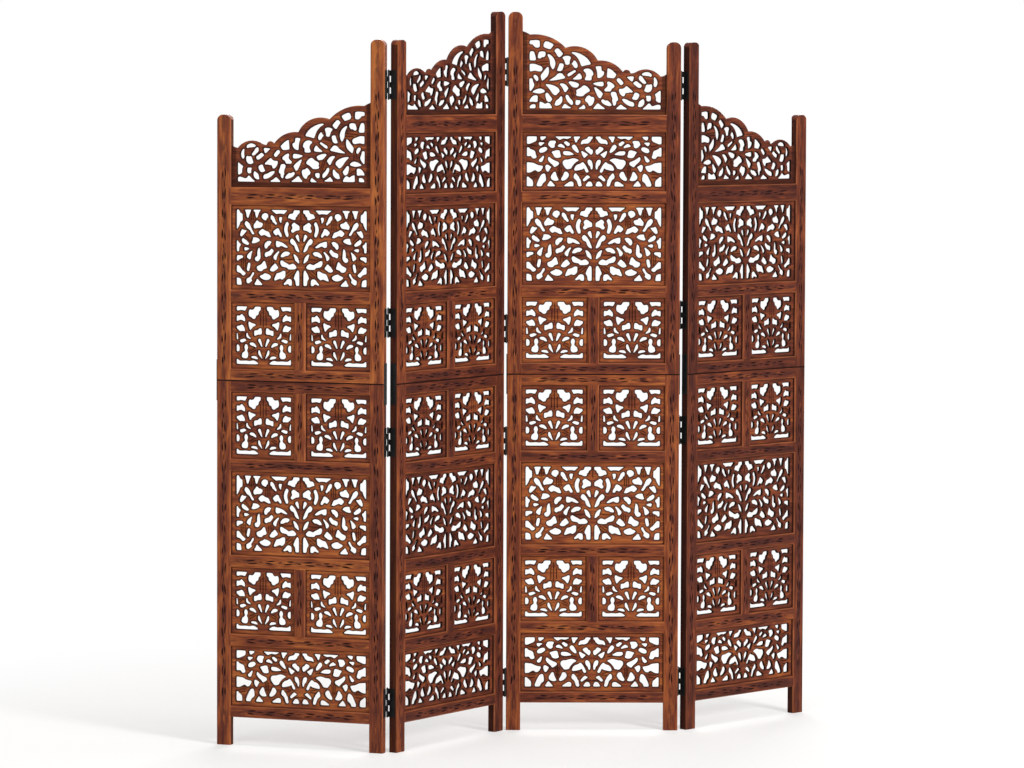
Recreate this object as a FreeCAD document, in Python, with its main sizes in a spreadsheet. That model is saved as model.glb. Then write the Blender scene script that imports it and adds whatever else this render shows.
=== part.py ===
"""Four-panel folding screen of carved, pierced wooden boards in jointed frames.

Millimetres, +Z up, the floor at z = 0. Seen from the front, +X runs to the right and +Y to the back.
Every panel is built in its own frame first: x from its left edge, y from its front face, z from the floor.
The panels stand in a zigzag. The first and third folds have their pins behind the panels,
the middle fold has them in front, so the screen closes like a concertina.
"""
import FreeCAD, Part
import math
import os

from FreeCAD import Placement, Rotation, Vector

doc = FreeCAD.newDocument("carved_screen")

# Driving sizes, in millimetres and degrees
DRIVING_SIZES = (
    ("panel_width", 395),
    ("stile_width", 33),
    ("frame_thickness", 20),
    ("leg_height", 63.5),
    ("bottom_rail_height", 25.5),
    ("cross_rail_height", 27.5),
    ("seam_rail_height", 25.5),
    ("top_rail_height", 40),
    ("mullion_width", 27),
    ("wide_opening_height", 135),
    ("square_opening_height", 150),
    ("tree_opening_height", 189),
    ("seam_gap", 0.8),
    ("short_post_rise", 161.2),
    ("middle_post_rise", 165.7),
    ("tall_post_rise", 233.7),
    ("post_top_radius", 11),
    ("board_thickness", 8),
    ("board_tongue", 5),
    ("board_border", 10.5),
    ("hole_corner", 1),
    ("groove_depth", 6),
    ("groove_clearance", 0.1),
    ("tenon_length", 16),
    ("tenon_thickness", 8),
    ("tenon_shoulder", 6),
    ("joint_clearance", 0.1),
    ("fold_gap", 4.6),
    ("pin_stand_off", 3.4),
    ("pin_radius", 1.1),
    ("pin_clearance", 0.05),
    ("pin_button_radius", 1.9),
    ("pin_button_height", 1.4),
    ("knuckle_radius", 2.3),
    ("knuckle_gap", 0.3),
    ("knuckle_cut_out", 4),
    ("leaf_height", 64),
    ("leaf_depth", 16),
    ("leaf_thickness", 1.6),
    ("plate_height", 92),
    ("plate_depth", 15),
    ("plate_thickness", 1.8),
    ("screw_shank_radius", 1.4),
    ("screw_head_radius", 2.8),
    ("screw_head_height", 1.4),
    ("screw_length", 13),
    ("screw_tip_length", 3),
    ("screw_slot_width", 0.7),
    ("screw_slot_depth", 0.6),
    ("leaf_screw_spacing", 22),
    ("plate_screw_inner", 14),
    ("plate_screw_outer", 36),
    ("lowest_hinge_height", 111),
    ("outer_hinge_below_seam", 129.5),
    ("outer_hinge_above_seam", 135.5),
    ("outer_hinge_below_top", 99),
    ("middle_hinge_below_seam", 153.5),
    ("middle_hinge_above_seam", 104.5),
    ("middle_hinge_below_top", 137),
    ("fold_12_angle", 109.5),
    ("fold_23_angle", 127.5),
    ("fold_34_angle", 137.5),
)
KNUCKLES_PER_HINGE = 5
SCREWS_PER_LEAF = 3
ALIAS_COLUMN = "B"

sheet = doc.addObject("Spreadsheet::Sheet", "sizes")
for row, (alias, value) in enumerate(DRIVING_SIZES, start=1):
    cell = f"{ALIAS_COLUMN}{row}"
    sheet.set(f"A{row}", alias.replace("_", " "))
    sheet.set(cell, str(value))
    sheet.setAlias(cell, alias)
doc.recompute()
size = {alias: float(getattr(sheet, alias)) for alias, value in DRIVING_SIZES}


# Carved patterns. Every hole is a closed curve, led by its corner points, listed anticlockwise.
# Points are in thousandths of the pierced width. x is measured from the centre line of the board and y from
# the lower edge of the pierced area. The left half mirrors the right.
THOUSANDTH = 0.001
TREE_PATTERN_HEIGHT_SHARE = 545
TREE_HOLES_SHARE = (
    ((12, 545), (12, 523), (27, 518), (32, 500), (43, 496), (44, 475), (68, 475), (86, 486), (106, 487),
     (100, 507), (92, 518), (70, 519), (62, 532), (60, 545)),
    ((106, 545), (134, 515), (150, 520), (178, 520), (195, 515), (234, 545)),
    ((255, 513), (255, 489), (264, 486), (269, 472), (278, 467), (288, 473), (300, 479), (309, 491),
     (306, 506), (294, 519), (274, 523)),
    ((226, 508), (211, 497), (202, 478), (198, 464), (186, 449), (190, 439), (200, 437), (211, 452),
     (221, 455), (227, 471), (239, 480), (238, 505)),
    ((146, 494), (150, 475), (154, 464), (152, 452), (163, 452), (166, 460), (172, 468), (174, 494)),
    ((13, 430), (13, 401), (32, 400), (50, 393), (64, 381), (76, 385), (83, 397), (72, 409), (70, 423),
     (78, 436), (68, 450), (55, 457), (38, 446)),
    ((108, 463), (94, 447), (104, 425), (106, 405), (103, 385), (97, 370), (99, 353), (115, 350),
     (129, 377), (135, 402), (131, 430), (119, 456)),
    ((148, 353), (166, 350), (172, 362), (182, 371), (192, 361), (201, 362), (212, 373), (221, 387),
     (205, 402), (190, 413), (173, 413), (167, 395), (152, 372)),
    ((303, 407), (289, 404), (277, 394), (250, 387), (244, 374), (232, 350), (248, 347), (266, 353),
     (280, 362), (291, 365), (303, 358), (311, 356), (322, 367), (333, 381), (318, 397)),
    ((310, 545), (326, 526), (334, 501), (339, 488), (351, 487), (354, 503), (358, 514), (356, 526),
     (368, 533), (373, 545)),
    ((385, 545), (394, 527), (401, 508), (407, 487), (421, 486), (425, 505), (430, 527), (438, 545)),
    ((481, 545), (476, 533), (469, 521), (453, 515), (452, 470), (457, 462), (470, 459), (475, 440),
     (487, 415), (500, 400), (500, 470), (500, 545)),
    ((333, 468), (327, 456), (309, 453), (296, 447), (296, 434), (309, 416), (332, 414), (346, 413),
     (360, 407), (368, 414), (371, 431), (365, 443), (355, 453), (349, 467)),
    ((360, 371), (372, 365), (382, 368), (391, 384), (400, 399), (411, 406), (422, 412), (432, 428),
     (440, 440), (436, 456), (424, 464), (411, 455), (399, 445), (390, 425), (378, 396)),
    ((419, 394), (432, 379), (446, 362), (461, 350), (473, 351), (475, 365), (469, 386), (460, 402),
     (452, 404), (443, 396), (429, 397)),
    ((316, 325), (331, 314), (350, 305), (374, 301), (387, 306), (376, 327), (374, 346), (350, 345),
     (333, 341)),
    ((401, 302), (409, 288), (426, 291), (448, 301), (459, 312), (463, 326), (455, 338), (444, 339),
     (436, 329), (424, 325), (415, 313)),
    ((398, 262), (411, 256), (422, 249), (440, 249), (443, 270), (430, 273), (414, 270)),
    ((489, 322), (483, 306), (468, 299), (467, 286), (478, 274), (480, 258), (479, 246), (490, 240),
     (500, 245), (500, 285), (500, 322)),
    ((227, 313), (237, 303), (240, 291), (254, 285), (260, 274), (269, 263), (281, 267), (287, 280),
     (284, 301), (273, 311), (261, 320), (240, 321)),
    ((101, 276), (118, 273), (143, 281), (156, 289), (169, 278), (192, 277), (198, 290), (197, 322),
     (182, 321), (158, 314), (137, 306), (119, 293)),
    ((13, 245), (18, 240), (38, 250), (50, 266), (53, 281), (60, 294), (75, 297), (84, 308), (90, 322),
     (82, 335), (73, 343), (60, 335), (48, 321), (33, 297), (22, 270)),
    ((13, 318), (20, 315), (35, 333), (48, 356), (40, 366), (26, 373), (18, 355)),
    ((84, 236), (95, 222), (107, 214), (120, 216), (131, 207), (148, 204), (163, 206), (156, 224),
     (141, 240), (120, 247), (100, 245)),
    ((166, 246), (178, 228), (186, 211), (190, 195), (190, 184), (200, 182), (211, 190), (218, 201),
     (214, 213), (204, 224), (190, 239), (175, 250)),
    ((211, 249), (222, 234), (232, 219), (242, 212), (256, 213), (263, 205), (277, 203), (284, 215),
     (283, 233), (270, 240), (252, 244), (240, 256), (231, 266), (221, 262)),
    ((322, 274), (317, 250), (315, 225), (313, 205), (316, 192), (324, 180), (335, 171), (348, 173),
     (357, 178), (361, 192), (355, 203), (341, 207), (342, 228), (340, 247), (334, 265)),
    ((375, 247), (384, 228), (387, 205), (391, 187), (400, 183), (409, 190), (423, 200), (419, 215),
     (408, 228), (394, 240), (384, 249)),
    ((446, 205), (456, 193), (471, 190), (482, 180), (491, 174), (500, 175), (500, 213), (480, 214),
     (456, 214)),
    ((14, 161), (24, 162), (38, 174), (50, 182), (53, 197), (58, 211), (64, 226), (54, 228), (42, 221),
     (28, 206), (19, 187)),
    ((34, 133), (44, 121), (62, 117), (104, 117), (112, 131), (136, 134), (152, 138), (161, 152),
     (165, 170), (160, 180), (148, 183), (132, 172), (120, 166), (104, 158), (93, 149), (80, 155),
     (62, 160), (46, 149)),
    ((175, 130), (184, 118), (196, 112), (206, 103), (221, 99), (239, 103), (246, 113), (237, 123),
     (227, 140), (216, 146), (208, 158), (195, 157), (186, 141)),
    ((264, 130), (268, 121), (286, 118), (298, 110), (300, 102), (320, 100), (334, 104), (344, 116),
     (346, 134), (330, 141), (312, 149), (302, 160), (294, 172), (284, 178), (276, 168), (270, 145)),
    ((393, 160), (393, 135), (399, 114), (403, 100), (417, 99), (423, 112), (418, 136), (414, 155),
     (407, 162)),
    ((427, 83), (435, 73), (446, 67), (457, 68), (466, 81), (480, 89), (500, 93), (500, 116), (500, 140),
     (480, 140), (470, 127), (458, 111), (447, 100), (434, 91)),
    ((232, 64), (236, 52), (248, 42), (264, 37), (284, 38), (302, 44), (315, 53), (325, 63), (313, 71),
     (295, 77), (283, 88), (270, 84), (258, 82), (241, 73)),
    ((121, 105), (122, 62), (133, 53), (144, 42), (155, 44), (163, 50), (178, 44), (198, 36), (213, 35),
     (208, 52), (200, 70), (191, 88), (174, 90), (157, 97), (142, 107)),
    ((15, 90), (15, 40), (15, 0), (43, 0), (46, 22), (48, 38), (60, 50), (58, 61), (53, 72), (48, 86),
     (40, 96), (36, 107), (26, 113), (18, 105)),
    ((71, 25), (72, 0), (97, 0), (100, 12), (112, 11), (127, 3), (140, 6), (133, 18), (122, 27), (112, 42),
     (100, 49), (85, 48), (74, 42)),
    ((299, 6), (303, 0), (362, 0), (362, 12), (352, 24), (347, 39), (340, 48), (328, 35), (314, 22)),
    ((362, 84), (371, 68), (383, 52), (385, 42), (377, 31), (392, 21), (402, 12), (413, 10), (425, 17),
     (425, 44), (405, 53), (392, 64), (384, 78), (377, 93), (367, 95)),
    ((459, 0), (500, 0), (500, 53), (482, 50), (466, 43), (462, 25)),
)
WIDE_PATTERN_HEIGHT_SHARE = 380
WIDE_HOLES_SHARE = (
    ((11, 380), (11, 366), (24, 357), (27, 344), (38, 334), (48, 326), (84, 327), (96, 317), (101, 325),
     (96, 342), (88, 354), (66, 358), (50, 366), (47, 380)),
    ((103, 380), (112, 365), (125, 352), (129, 336), (140, 334), (145, 350), (150, 366), (154, 380)),
    ((168, 380), (176, 371), (192, 364), (206, 361), (226, 367), (244, 361), (250, 355), (261, 355),
     (275, 367), (290, 380)),
    ((356, 380), (362, 368), (374, 358), (386, 351), (396, 353), (400, 366), (402, 380)),
    ((428, 378), (427, 354), (436, 342), (452, 336), (466, 329), (480, 323), (500, 323), (500, 380),
     (430, 380)),
    ((286, 346), (284, 334), (294, 322), (293, 304), (300, 293), (318, 292), (332, 304), (344, 318),
     (338, 334), (329, 347), (300, 348)),
    ((369, 328), (382, 322), (390, 312), (400, 307), (408, 314), (414, 328), (411, 336), (385, 335),
     (372, 334)),
    ((180, 322), (186, 309), (200, 307), (211, 317), (224, 330), (226, 338), (214, 342), (206, 346),
     (196, 335), (184, 330)),
    ((216, 296), (222, 291), (238, 297), (262, 301), (273, 304), (266, 316), (250, 326), (237, 319),
     (225, 309)),
    ((114, 262), (118, 254), (134, 261), (149, 274), (161, 288), (168, 303), (160, 315), (148, 320),
     (136, 310), (124, 290), (116, 272)),
    ((9, 262), (14, 247), (24, 240), (38, 254), (56, 267), (70, 284), (66, 293), (48, 302), (38, 303),
     (30, 291), (26, 284), (12, 280)),
    ((44, 243), (57, 232), (67, 220), (75, 217), (84, 229), (93, 250), (97, 268), (91, 271), (76, 262),
     (60, 252)),
    ((148, 243), (170, 239), (200, 236), (222, 239), (231, 248), (232, 260), (226, 269), (188, 268),
     (167, 257)),
    ((245, 227), (256, 219), (276, 216), (292, 220), (301, 232), (306, 246), (316, 257), (316, 264),
     (300, 269), (282, 275), (260, 276), (254, 262), (252, 244)),
    ((347, 282), (358, 270), (372, 261), (388, 256), (403, 256), (411, 266), (407, 281), (396, 291),
     (378, 298), (362, 301), (352, 294)),
    ((427, 225), (434, 213), (456, 211), (463, 222), (472, 232), (486, 230), (500, 228), (500, 262),
     (500, 297), (487, 297), (474, 282), (452, 276), (438, 266), (436, 246)),
    ((259, 175), (267, 162), (281, 153), (292, 147), (300, 149), (305, 160), (320, 174), (336, 188),
     (345, 206), (342, 221), (334, 226), (321, 213), (306, 203), (288, 194), (268, 187)),
    ((371, 232), (376, 212), (381, 196), (389, 185), (400, 183), (411, 191), (413, 199), (401, 211),
     (390, 223), (380, 233)),
    ((10, 150), (14, 130), (21, 126), (27, 140), (29, 153), (39, 160), (46, 173), (50, 192), (45, 204),
     (29, 203), (18, 192), (12, 172)),
    ((112, 199), (126, 191), (142, 180), (156, 163), (166, 148), (170, 136), (184, 133), (202, 130),
     (213, 138), (220, 150), (231, 163), (235, 180), (230, 196), (214, 204), (194, 203), (174, 211),
     (150, 215), (130, 209)),
    ((40, 116), (46, 105), (60, 106), (68, 122), (74, 141), (84, 131), (98, 127), (118, 122), (142, 119),
     (150, 127), (142, 150), (127, 166), (102, 172), (86, 188), (66, 166), (51, 137)),
    ((379, 150), (386, 134), (397, 117), (410, 110), (424, 113), (434, 124), (446, 122), (459, 112),
     (476, 105), (500, 103), (500, 144), (500, 184), (470, 180), (446, 177), (428, 165), (404, 158),
     (386, 157)),
    ((317, 148), (327, 136), (335, 119), (343, 109), (353, 115), (361, 132), (363, 152), (357, 165),
     (345, 165), (332, 156)),
    ((186, 88), (192, 71), (204, 56), (220, 46), (236, 42), (245, 47), (244, 62), (234, 76), (228, 90),
     (220, 111), (206, 113), (194, 104)),
    ((262, 48), (276, 42), (296, 42), (312, 49), (322, 63), (321, 79), (311, 94), (302, 108), (290, 114),
     (283, 101), (280, 84), (272, 66)),
    ((27, 70), (44, 60), (58, 48), (70, 39), (80, 38), (85, 50), (74, 64), (62, 77), (51, 86), (40, 80)),
    ((92, 8), (97, 0), (114, 0), (121, 16), (126, 36), (134, 50), (149, 60), (153, 72), (148, 92),
     (140, 102), (129, 93), (122, 82), (112, 73), (109, 60), (99, 48), (97, 26)),
    ((10, 5), (16, 0), (60, 0), (63, 8), (53, 24), (42, 37), (22, 36), (15, 22)),
    ((153, 0), (220, 0), (222, 7), (207, 18), (193, 28), (176, 38), (156, 34), (152, 18)),
    ((289, 0), (346, 0), (348, 8), (340, 22), (330, 38), (322, 43), (312, 30), (297, 14)),
    ((357, 60), (359, 40), (372, 31), (383, 20), (389, 0), (424, 0), (427, 12), (420, 34), (410, 56),
     (402, 74), (391, 90), (374, 99), (363, 92)),
    ((453, 0), (500, 0), (500, 36), (500, 74), (488, 73), (476, 60), (462, 50), (454, 38)),
)
SQUARE_PATTERN_HEIGHT_SHARE = 975
SQUARE_HOLES_SHARE = (
    ((52, 968), (56, 918), (74, 903), (90, 895), (93, 850), (110, 832), (138, 826), (145, 795), (155, 773),
     (180, 766), (206, 769), (224, 788), (246, 802), (270, 808), (283, 850), (280, 895), (268, 922),
     (250, 930), (232, 920), (200, 921), (180, 940), (166, 970), (150, 975), (62, 975)),
    ((302, 975), (318, 945), (332, 914), (345, 902), (372, 908), (405, 916), (440, 914), (470, 904),
     (500, 905), (500, 940), (500, 975)),
    ((341, 765), (341, 722), (362, 723), (392, 740), (428, 751), (462, 740), (500, 722), (500, 770),
     (500, 820), (470, 820), (446, 812), (424, 836), (405, 849), (388, 838), (364, 808), (350, 795)),
    ((341, 562), (360, 555), (384, 561), (408, 560), (434, 556), (452, 561), (464, 577), (482, 590),
     (500, 604), (500, 641), (452, 645), (430, 656), (404, 670), (380, 656), (362, 632), (348, 605)),
    ((143, 672), (150, 655), (181, 644), (205, 624), (226, 598), (244, 576), (258, 578), (266, 610),
     (280, 645), (287, 690), (282, 722), (254, 718), (234, 704), (210, 694), (176, 688)),
    ((32, 540), (38, 510), (60, 506), (96, 506), (118, 501), (142, 488), (172, 478), (180, 500), (180, 560),
     (172, 572), (126, 574), (106, 586), (88, 606), (60, 614), (40, 608), (36, 575)),
    ((232, 425), (262, 430), (294, 442), (318, 455), (327, 490), (322, 522), (305, 536), (294, 522),
     (286, 488), (262, 462), (238, 442)),
    ((468, 430), (474, 415), (500, 414), (500, 470), (500, 530), (484, 529), (478, 500), (472, 470)),
    ((310, 402), (338, 390), (366, 375), (396, 365), (418, 364), (436, 378), (444, 398), (428, 414),
     (400, 421), (374, 428), (352, 431), (328, 416)),
    ((22, 300), (32, 290), (52, 305), (66, 330), (78, 355), (92, 375), (110, 402), (102, 424), (78, 441),
     (56, 428), (44, 390), (32, 345)),
    ((128, 294), (142, 284), (166, 292), (192, 307), (222, 314), (250, 325), (268, 344), (256, 361),
     (222, 370), (186, 365), (162, 348), (142, 322)),
    ((284, 175), (288, 130), (300, 104), (334, 97), (372, 101), (398, 112), (410, 134), (402, 165),
     (396, 190), (372, 203), (352, 220), (345, 238), (354, 262), (361, 285), (353, 318), (338, 336),
     (314, 341), (296, 318), (286, 284), (292, 258), (304, 240), (302, 215), (288, 200)),
    ((439, 270), (443, 235), (456, 216), (480, 210), (500, 214), (500, 270), (500, 326), (484, 332),
     (462, 322), (446, 308)),
    ((20, 92), (34, 95), (56, 118), (74, 138), (94, 158), (104, 178), (106, 215), (98, 240), (84, 247),
     (66, 222), (50, 178), (36, 135)),
    ((100, 86), (140, 87), (176, 96), (206, 104), (230, 108), (238, 120), (222, 134), (190, 141),
     (160, 136), (140, 139), (126, 122), (108, 104)),
    ((92, 14), (130, 0), (250, 0), (370, 0), (500, 0), (500, 82), (484, 90), (466, 76), (448, 58),
     (410, 54), (360, 57), (315, 60), (270, 52), (236, 56), (200, 66), (162, 60), (134, 44)),
)

# Points of the crest are in thousandths of the opening between the stiles. x is measured from the tall
# stile and y from the rail below.
CREST_TALL_SIDE_SHARE = 577
CREST_SHORT_SIDE_SHARE = 282
CREST_EDGE_SHARE = (
    ((0, 577), (27, 567), (50, 554)),
    ((50, 554), (187, 537), (298, 463)),
    ((298, 463), (430, 461), (522, 375)),
    ((522, 375), (618, 360), (697, 296)),
    ((697, 296), (724, 312), (750, 287)),
    ((750, 287), (766, 288), (785, 295)),
    ((785, 295), (875, 314), (958, 266)),
    ((958, 266), (978, 269), (1000, 282)),
)
CREST_HOLES_SHARE = (
    ((48, 511), (48, 487), (70, 486), (78, 473), (90, 463), (112, 464), (119, 471), (118, 511), (100, 516),
     (66, 514)),
    ((143, 474), (152, 464), (174, 456), (192, 452), (202, 464), (216, 484), (204, 492), (180, 504),
     (158, 508), (148, 496)),
    ((219, 441), (234, 422), (244, 403), (253, 396), (266, 404), (281, 421), (266, 439), (249, 457),
     (238, 459), (227, 451)),
    ((338, 426), (360, 416), (380, 396), (395, 372), (403, 348), (408, 335), (418, 335), (440, 343),
     (470, 347), (474, 353), (462, 373), (446, 392), (424, 408), (398, 422), (366, 432), (342, 433)),
    ((48, 425), (49, 375), (88, 374), (92, 384), (88, 405), (82, 424), (76, 437), (56, 439)),
    ((104, 396), (110, 388), (126, 389), (134, 399), (146, 396), (154, 403), (160, 420), (157, 434),
     (136, 438), (114, 434), (108, 418)),
    ((172, 410), (184, 390), (190, 370), (190, 348), (198, 328), (208, 312), (216, 315), (225, 336),
     (228, 358), (222, 378), (210, 398), (194, 412), (174, 421)),
    ((274, 394), (286, 382), (293, 366), (297, 347), (310, 344), (327, 350), (325, 364), (329, 380),
     (336, 393), (328, 404), (308, 408), (286, 403)),
    ((338, 352), (350, 342), (358, 326), (370, 321), (380, 325), (383, 342), (377, 358), (366, 373),
     (354, 376), (350, 362)),
    ((49, 350), (49, 298), (66, 299), (82, 305), (104, 299), (126, 297), (137, 308), (138, 322),
     (130, 334), (112, 339), (96, 346), (80, 351)),
    ((238, 307), (246, 301), (264, 301), (276, 308), (281, 324), (286, 342), (281, 353), (256, 355),
     (251, 338), (246, 322)),
    ((124, 268), (130, 248), (134, 234), (142, 236), (157, 250), (173, 264), (181, 283), (183, 304),
     (180, 330), (170, 328), (158, 314), (146, 297), (132, 281)),
    ((74, 262), (84, 246), (96, 231), (104, 230), (110, 242), (107, 258), (99, 270), (86, 276), (78, 272)),
    ((47, 248), (48, 165), (56, 160), (66, 174), (78, 190), (82, 208), (74, 222), (70, 240), (66, 251)),
    ((183, 235), (212, 235), (242, 240), (270, 246), (294, 251), (296, 260), (284, 270), (276, 284),
     (256, 287), (240, 280), (231, 266), (212, 254)),
    ((311, 268), (318, 263), (334, 270), (350, 283), (366, 295), (372, 303), (362, 309), (344, 300),
     (328, 290), (314, 284)),
    ((346, 245), (366, 242), (392, 243), (410, 247), (412, 258), (407, 272), (399, 284), (390, 286),
     (380, 273), (363, 258)),
    ((421, 304), (436, 292), (443, 276), (439, 260), (431, 246), (436, 238), (474, 237), (480, 245),
     (478, 262), (484, 270), (492, 275), (490, 292), (480, 308), (462, 319), (440, 319), (426, 313)),
    ((317, 224), (328, 211), (340, 197), (350, 189), (378, 186), (388, 196), (394, 210), (378, 220),
     (352, 228), (326, 230)),
    ((158, 206), (172, 193), (186, 177), (198, 160), (209, 144), (222, 133), (236, 134), (243, 146),
     (256, 155), (257, 170), (246, 185), (222, 199), (192, 208), (164, 210)),
    ((256, 211), (268, 198), (279, 182), (286, 166), (292, 154), (301, 155), (310, 168), (320, 181),
     (310, 194), (300, 207), (284, 215), (264, 215)),
    ((66, 154), (86, 149), (112, 144), (132, 147), (150, 153), (156, 160), (148, 170), (130, 179),
     (108, 178), (84, 168)),
    ((370, 136), (380, 128), (404, 126), (422, 128), (432, 141), (448, 152), (468, 162), (466, 174),
     (450, 193), (434, 202), (420, 201), (410, 190), (396, 180), (376, 172), (372, 162), (378, 150)),
    ((47, 86), (74, 89), (96, 84), (106, 90), (104, 104), (107, 122), (100, 133), (76, 131), (60, 116),
     (50, 100)),
    ((158, 133), (163, 112), (166, 98), (178, 87), (192, 85), (200, 95), (207, 108), (198, 120),
     (188, 131), (178, 146), (168, 151), (160, 146)),
    ((221, 66), (234, 60), (252, 63), (266, 73), (276, 88), (277, 108), (275, 125), (264, 126),
     (255, 112), (243, 101), (231, 95), (228, 80)),
    ((298, 128), (302, 110), (311, 92), (326, 76), (341, 65), (350, 68), (352, 86), (344, 99), (333, 108),
     (324, 121), (317, 135), (304, 137)),
    ((369, 68), (384, 64), (396, 72), (404, 84), (401, 100), (388, 98), (374, 102), (368, 94)),
    ((433, 102), (440, 88), (454, 82), (458, 68), (466, 58), (480, 63), (491, 76), (498, 94), (500, 112),
     (492, 122), (476, 122), (468, 131), (460, 134), (446, 124)),
    ((48, 42), (89, 42), (91, 56), (88, 70), (64, 69), (52, 58)),
    ((117, 50), (119, 42), (200, 42), (206, 46), (199, 60), (190, 75), (176, 82), (164, 76), (156, 70),
     (146, 80), (130, 86), (119, 89)),
    ((270, 43), (336, 43), (338, 48), (322, 55), (307, 66), (296, 75), (288, 70), (280, 56)),
    ((387, 38), (434, 38), (438, 46), (432, 60), (427, 70), (414, 58), (400, 48)),
    ((489, 39), (572, 38), (574, 42), (556, 54), (538, 68), (528, 78), (518, 76), (506, 60)),
    ((520, 254), (535, 254), (550, 261), (562, 274), (568, 292), (562, 300), (549, 304), (547, 320),
     (545, 336), (512, 335), (506, 328), (516, 306), (519, 282)),
    ((585, 258), (604, 255), (634, 252), (643, 262), (653, 278), (640, 291), (622, 308), (604, 318),
     (590, 323), (588, 290)),
    ((652, 238), (666, 222), (680, 205), (690, 205), (703, 218), (692, 234), (678, 250), (664, 254),
     (656, 247)),
    ((487, 215), (502, 206), (522, 199), (545, 196), (562, 198), (564, 212), (560, 228), (538, 227),
     (508, 222)),
    ((566, 170), (576, 160), (596, 162), (611, 160), (616, 171), (622, 182), (636, 188), (641, 200),
     (628, 214), (610, 226), (590, 231), (587, 218), (593, 203), (586, 190), (574, 181)),
    ((496, 190), (503, 170), (511, 150), (520, 131), (531, 114), (544, 113), (550, 128), (560, 144),
     (546, 160), (527, 175), (508, 189)),
    ((612, 146), (618, 128), (626, 110), (622, 94), (629, 78), (630, 62), (645, 63), (651, 76), (651, 92),
     (664, 98), (664, 114), (656, 132), (652, 150), (645, 158), (620, 158)),
    ((546, 92), (558, 77), (576, 66), (598, 59), (618, 60), (619, 70), (608, 84), (598, 92), (590, 99),
     (574, 96), (562, 106), (550, 104)),
    ((649, 40), (656, 37), (722, 37), (728, 41), (706, 53), (692, 64), (683, 71), (668, 58)),
    ((690, 105), (702, 88), (720, 72), (742, 60), (766, 56), (777, 60), (776, 76), (768, 87), (748, 91),
     (732, 101), (712, 109), (696, 110)),
    ((723, 261), (734, 251), (746, 240), (758, 229), (766, 233), (770, 247), (775, 260), (768, 266),
     (744, 265)),
    ((767, 217), (780, 206), (792, 196), (806, 187), (820, 186), (828, 196), (828, 208), (812, 216),
     (802, 226), (790, 234), (778, 228)),
    ((807, 250), (812, 238), (824, 230), (836, 216), (852, 213), (862, 221), (853, 233), (842, 247),
     (836, 259), (822, 271), (810, 269)),
    ((826, 281), (838, 271), (852, 272), (864, 268), (876, 270), (888, 262), (898, 266), (897, 281),
     (884, 291), (864, 297), (844, 293)),
    ((910, 205), (916, 193), (926, 191), (934, 203), (938, 220), (935, 238), (926, 253), (915, 263),
     (911, 250), (914, 232)),
    ((844, 166), (860, 156), (880, 156), (893, 165), (900, 180), (901, 200), (896, 213), (880, 207),
     (862, 210), (856, 196), (850, 178)),
    ((669, 165), (678, 143), (692, 128), (708, 127), (713, 141), (716, 152), (732, 150), (746, 156),
     (760, 152), (768, 160), (752, 174), (736, 189), (722, 200), (712, 190), (700, 180), (684, 178),
     (671, 180)),
    ((760, 110), (778, 102), (796, 103), (804, 114), (813, 132), (810, 143), (798, 151), (782, 154),
     (774, 142), (770, 127), (763, 118)),
    ((802, 55), (816, 52), (832, 57), (844, 70), (848, 86), (845, 102), (837, 110), (827, 101), (811, 92),
     (807, 74)),
    ((861, 96), (878, 92), (891, 97), (893, 114), (891, 132), (860, 131), (857, 128), (863, 113)),
    ((919, 141), (926, 128), (929, 112), (926, 100), (935, 91), (948, 84), (960, 84), (960, 126),
     (960, 167), (952, 166), (938, 153)),
    ((833, 39), (840, 37), (900, 37), (960, 37), (960, 66), (942, 70), (922, 64), (906, 58), (896, 61),
     (887, 76), (877, 79), (864, 66), (852, 53)),
)


# Rows of a panel from the bottom up: what the row is, and the size that gives its height
LOWER_ROWS = (
    ("rail", "bottom_rail_height"),
    ("wide", "wide_opening_height"),
    ("rail", "cross_rail_height"),
    ("square", "square_opening_height"),
    ("rail", "cross_rail_height"),
    ("tree", "tree_opening_height"),
    ("rail", "cross_rail_height"),
    ("square", "square_opening_height"),
    ("rail", "seam_rail_height"),
)
OUTER_UPPER_ROWS = (
    ("rail", "seam_rail_height"),
    ("square", "square_opening_height"),
    ("rail", "cross_rail_height"),
    ("tree", "tree_opening_height"),
    ("rail", "top_rail_height"),
)
INNER_UPPER_ROWS = (
    ("rail", "seam_rail_height"),
    ("square", "square_opening_height"),
    ("rail", "cross_rail_height"),
    ("tree", "tree_opening_height"),
    ("rail", "cross_rail_height"),
    ("wide", "wide_opening_height"),
    ("rail", "top_rail_height"),
)
# Each panel's left and right posts, its upper rows and the side of the crest's tall end
PANELS = {
    1: ("short", "middle", OUTER_UPPER_ROWS, "right"),
    2: ("middle", "tall", INNER_UPPER_ROWS, "right"),
    3: ("tall", "middle", INNER_UPPER_ROWS, "left"),
    4: ("middle", "short", OUTER_UPPER_ROWS, "left"),
}
# The sizes that add up to a height over the floor: of the seam, the upper frames, the crests and the posts
SEAM_NAMES = ["leg_height"] + [name for kind, name in LOWER_ROWS]
UPPER_START_NAMES = SEAM_NAMES + ["seam_gap"]
OUTER_CREST_NAMES = UPPER_START_NAMES + [name for kind, name in OUTER_UPPER_ROWS]
INNER_CREST_NAMES = UPPER_START_NAMES + [name for kind, name in INNER_UPPER_ROWS]
POST_NAMES = {
    "short": OUTER_CREST_NAMES + ["short_post_rise"],
    "middle": INNER_CREST_NAMES + ["middle_post_rise"],
    "tall": INNER_CREST_NAMES + ["tall_post_rise"],
}
opening_width = size["panel_width"] - 2 * size["stile_width"]
groove_width = size["board_thickness"] + 2 * size["groove_clearance"]
seam_height = sum(size[name] for name in SEAM_NAMES)


def amount(names):
    """The sum of some of the sheet's sizes."""
    return sum(size[name] for name in names)


def formula(names):
    """The same sum as an expression on the sheet."""
    return " + ".join(f"sizes.{name}" for name in names)


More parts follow.
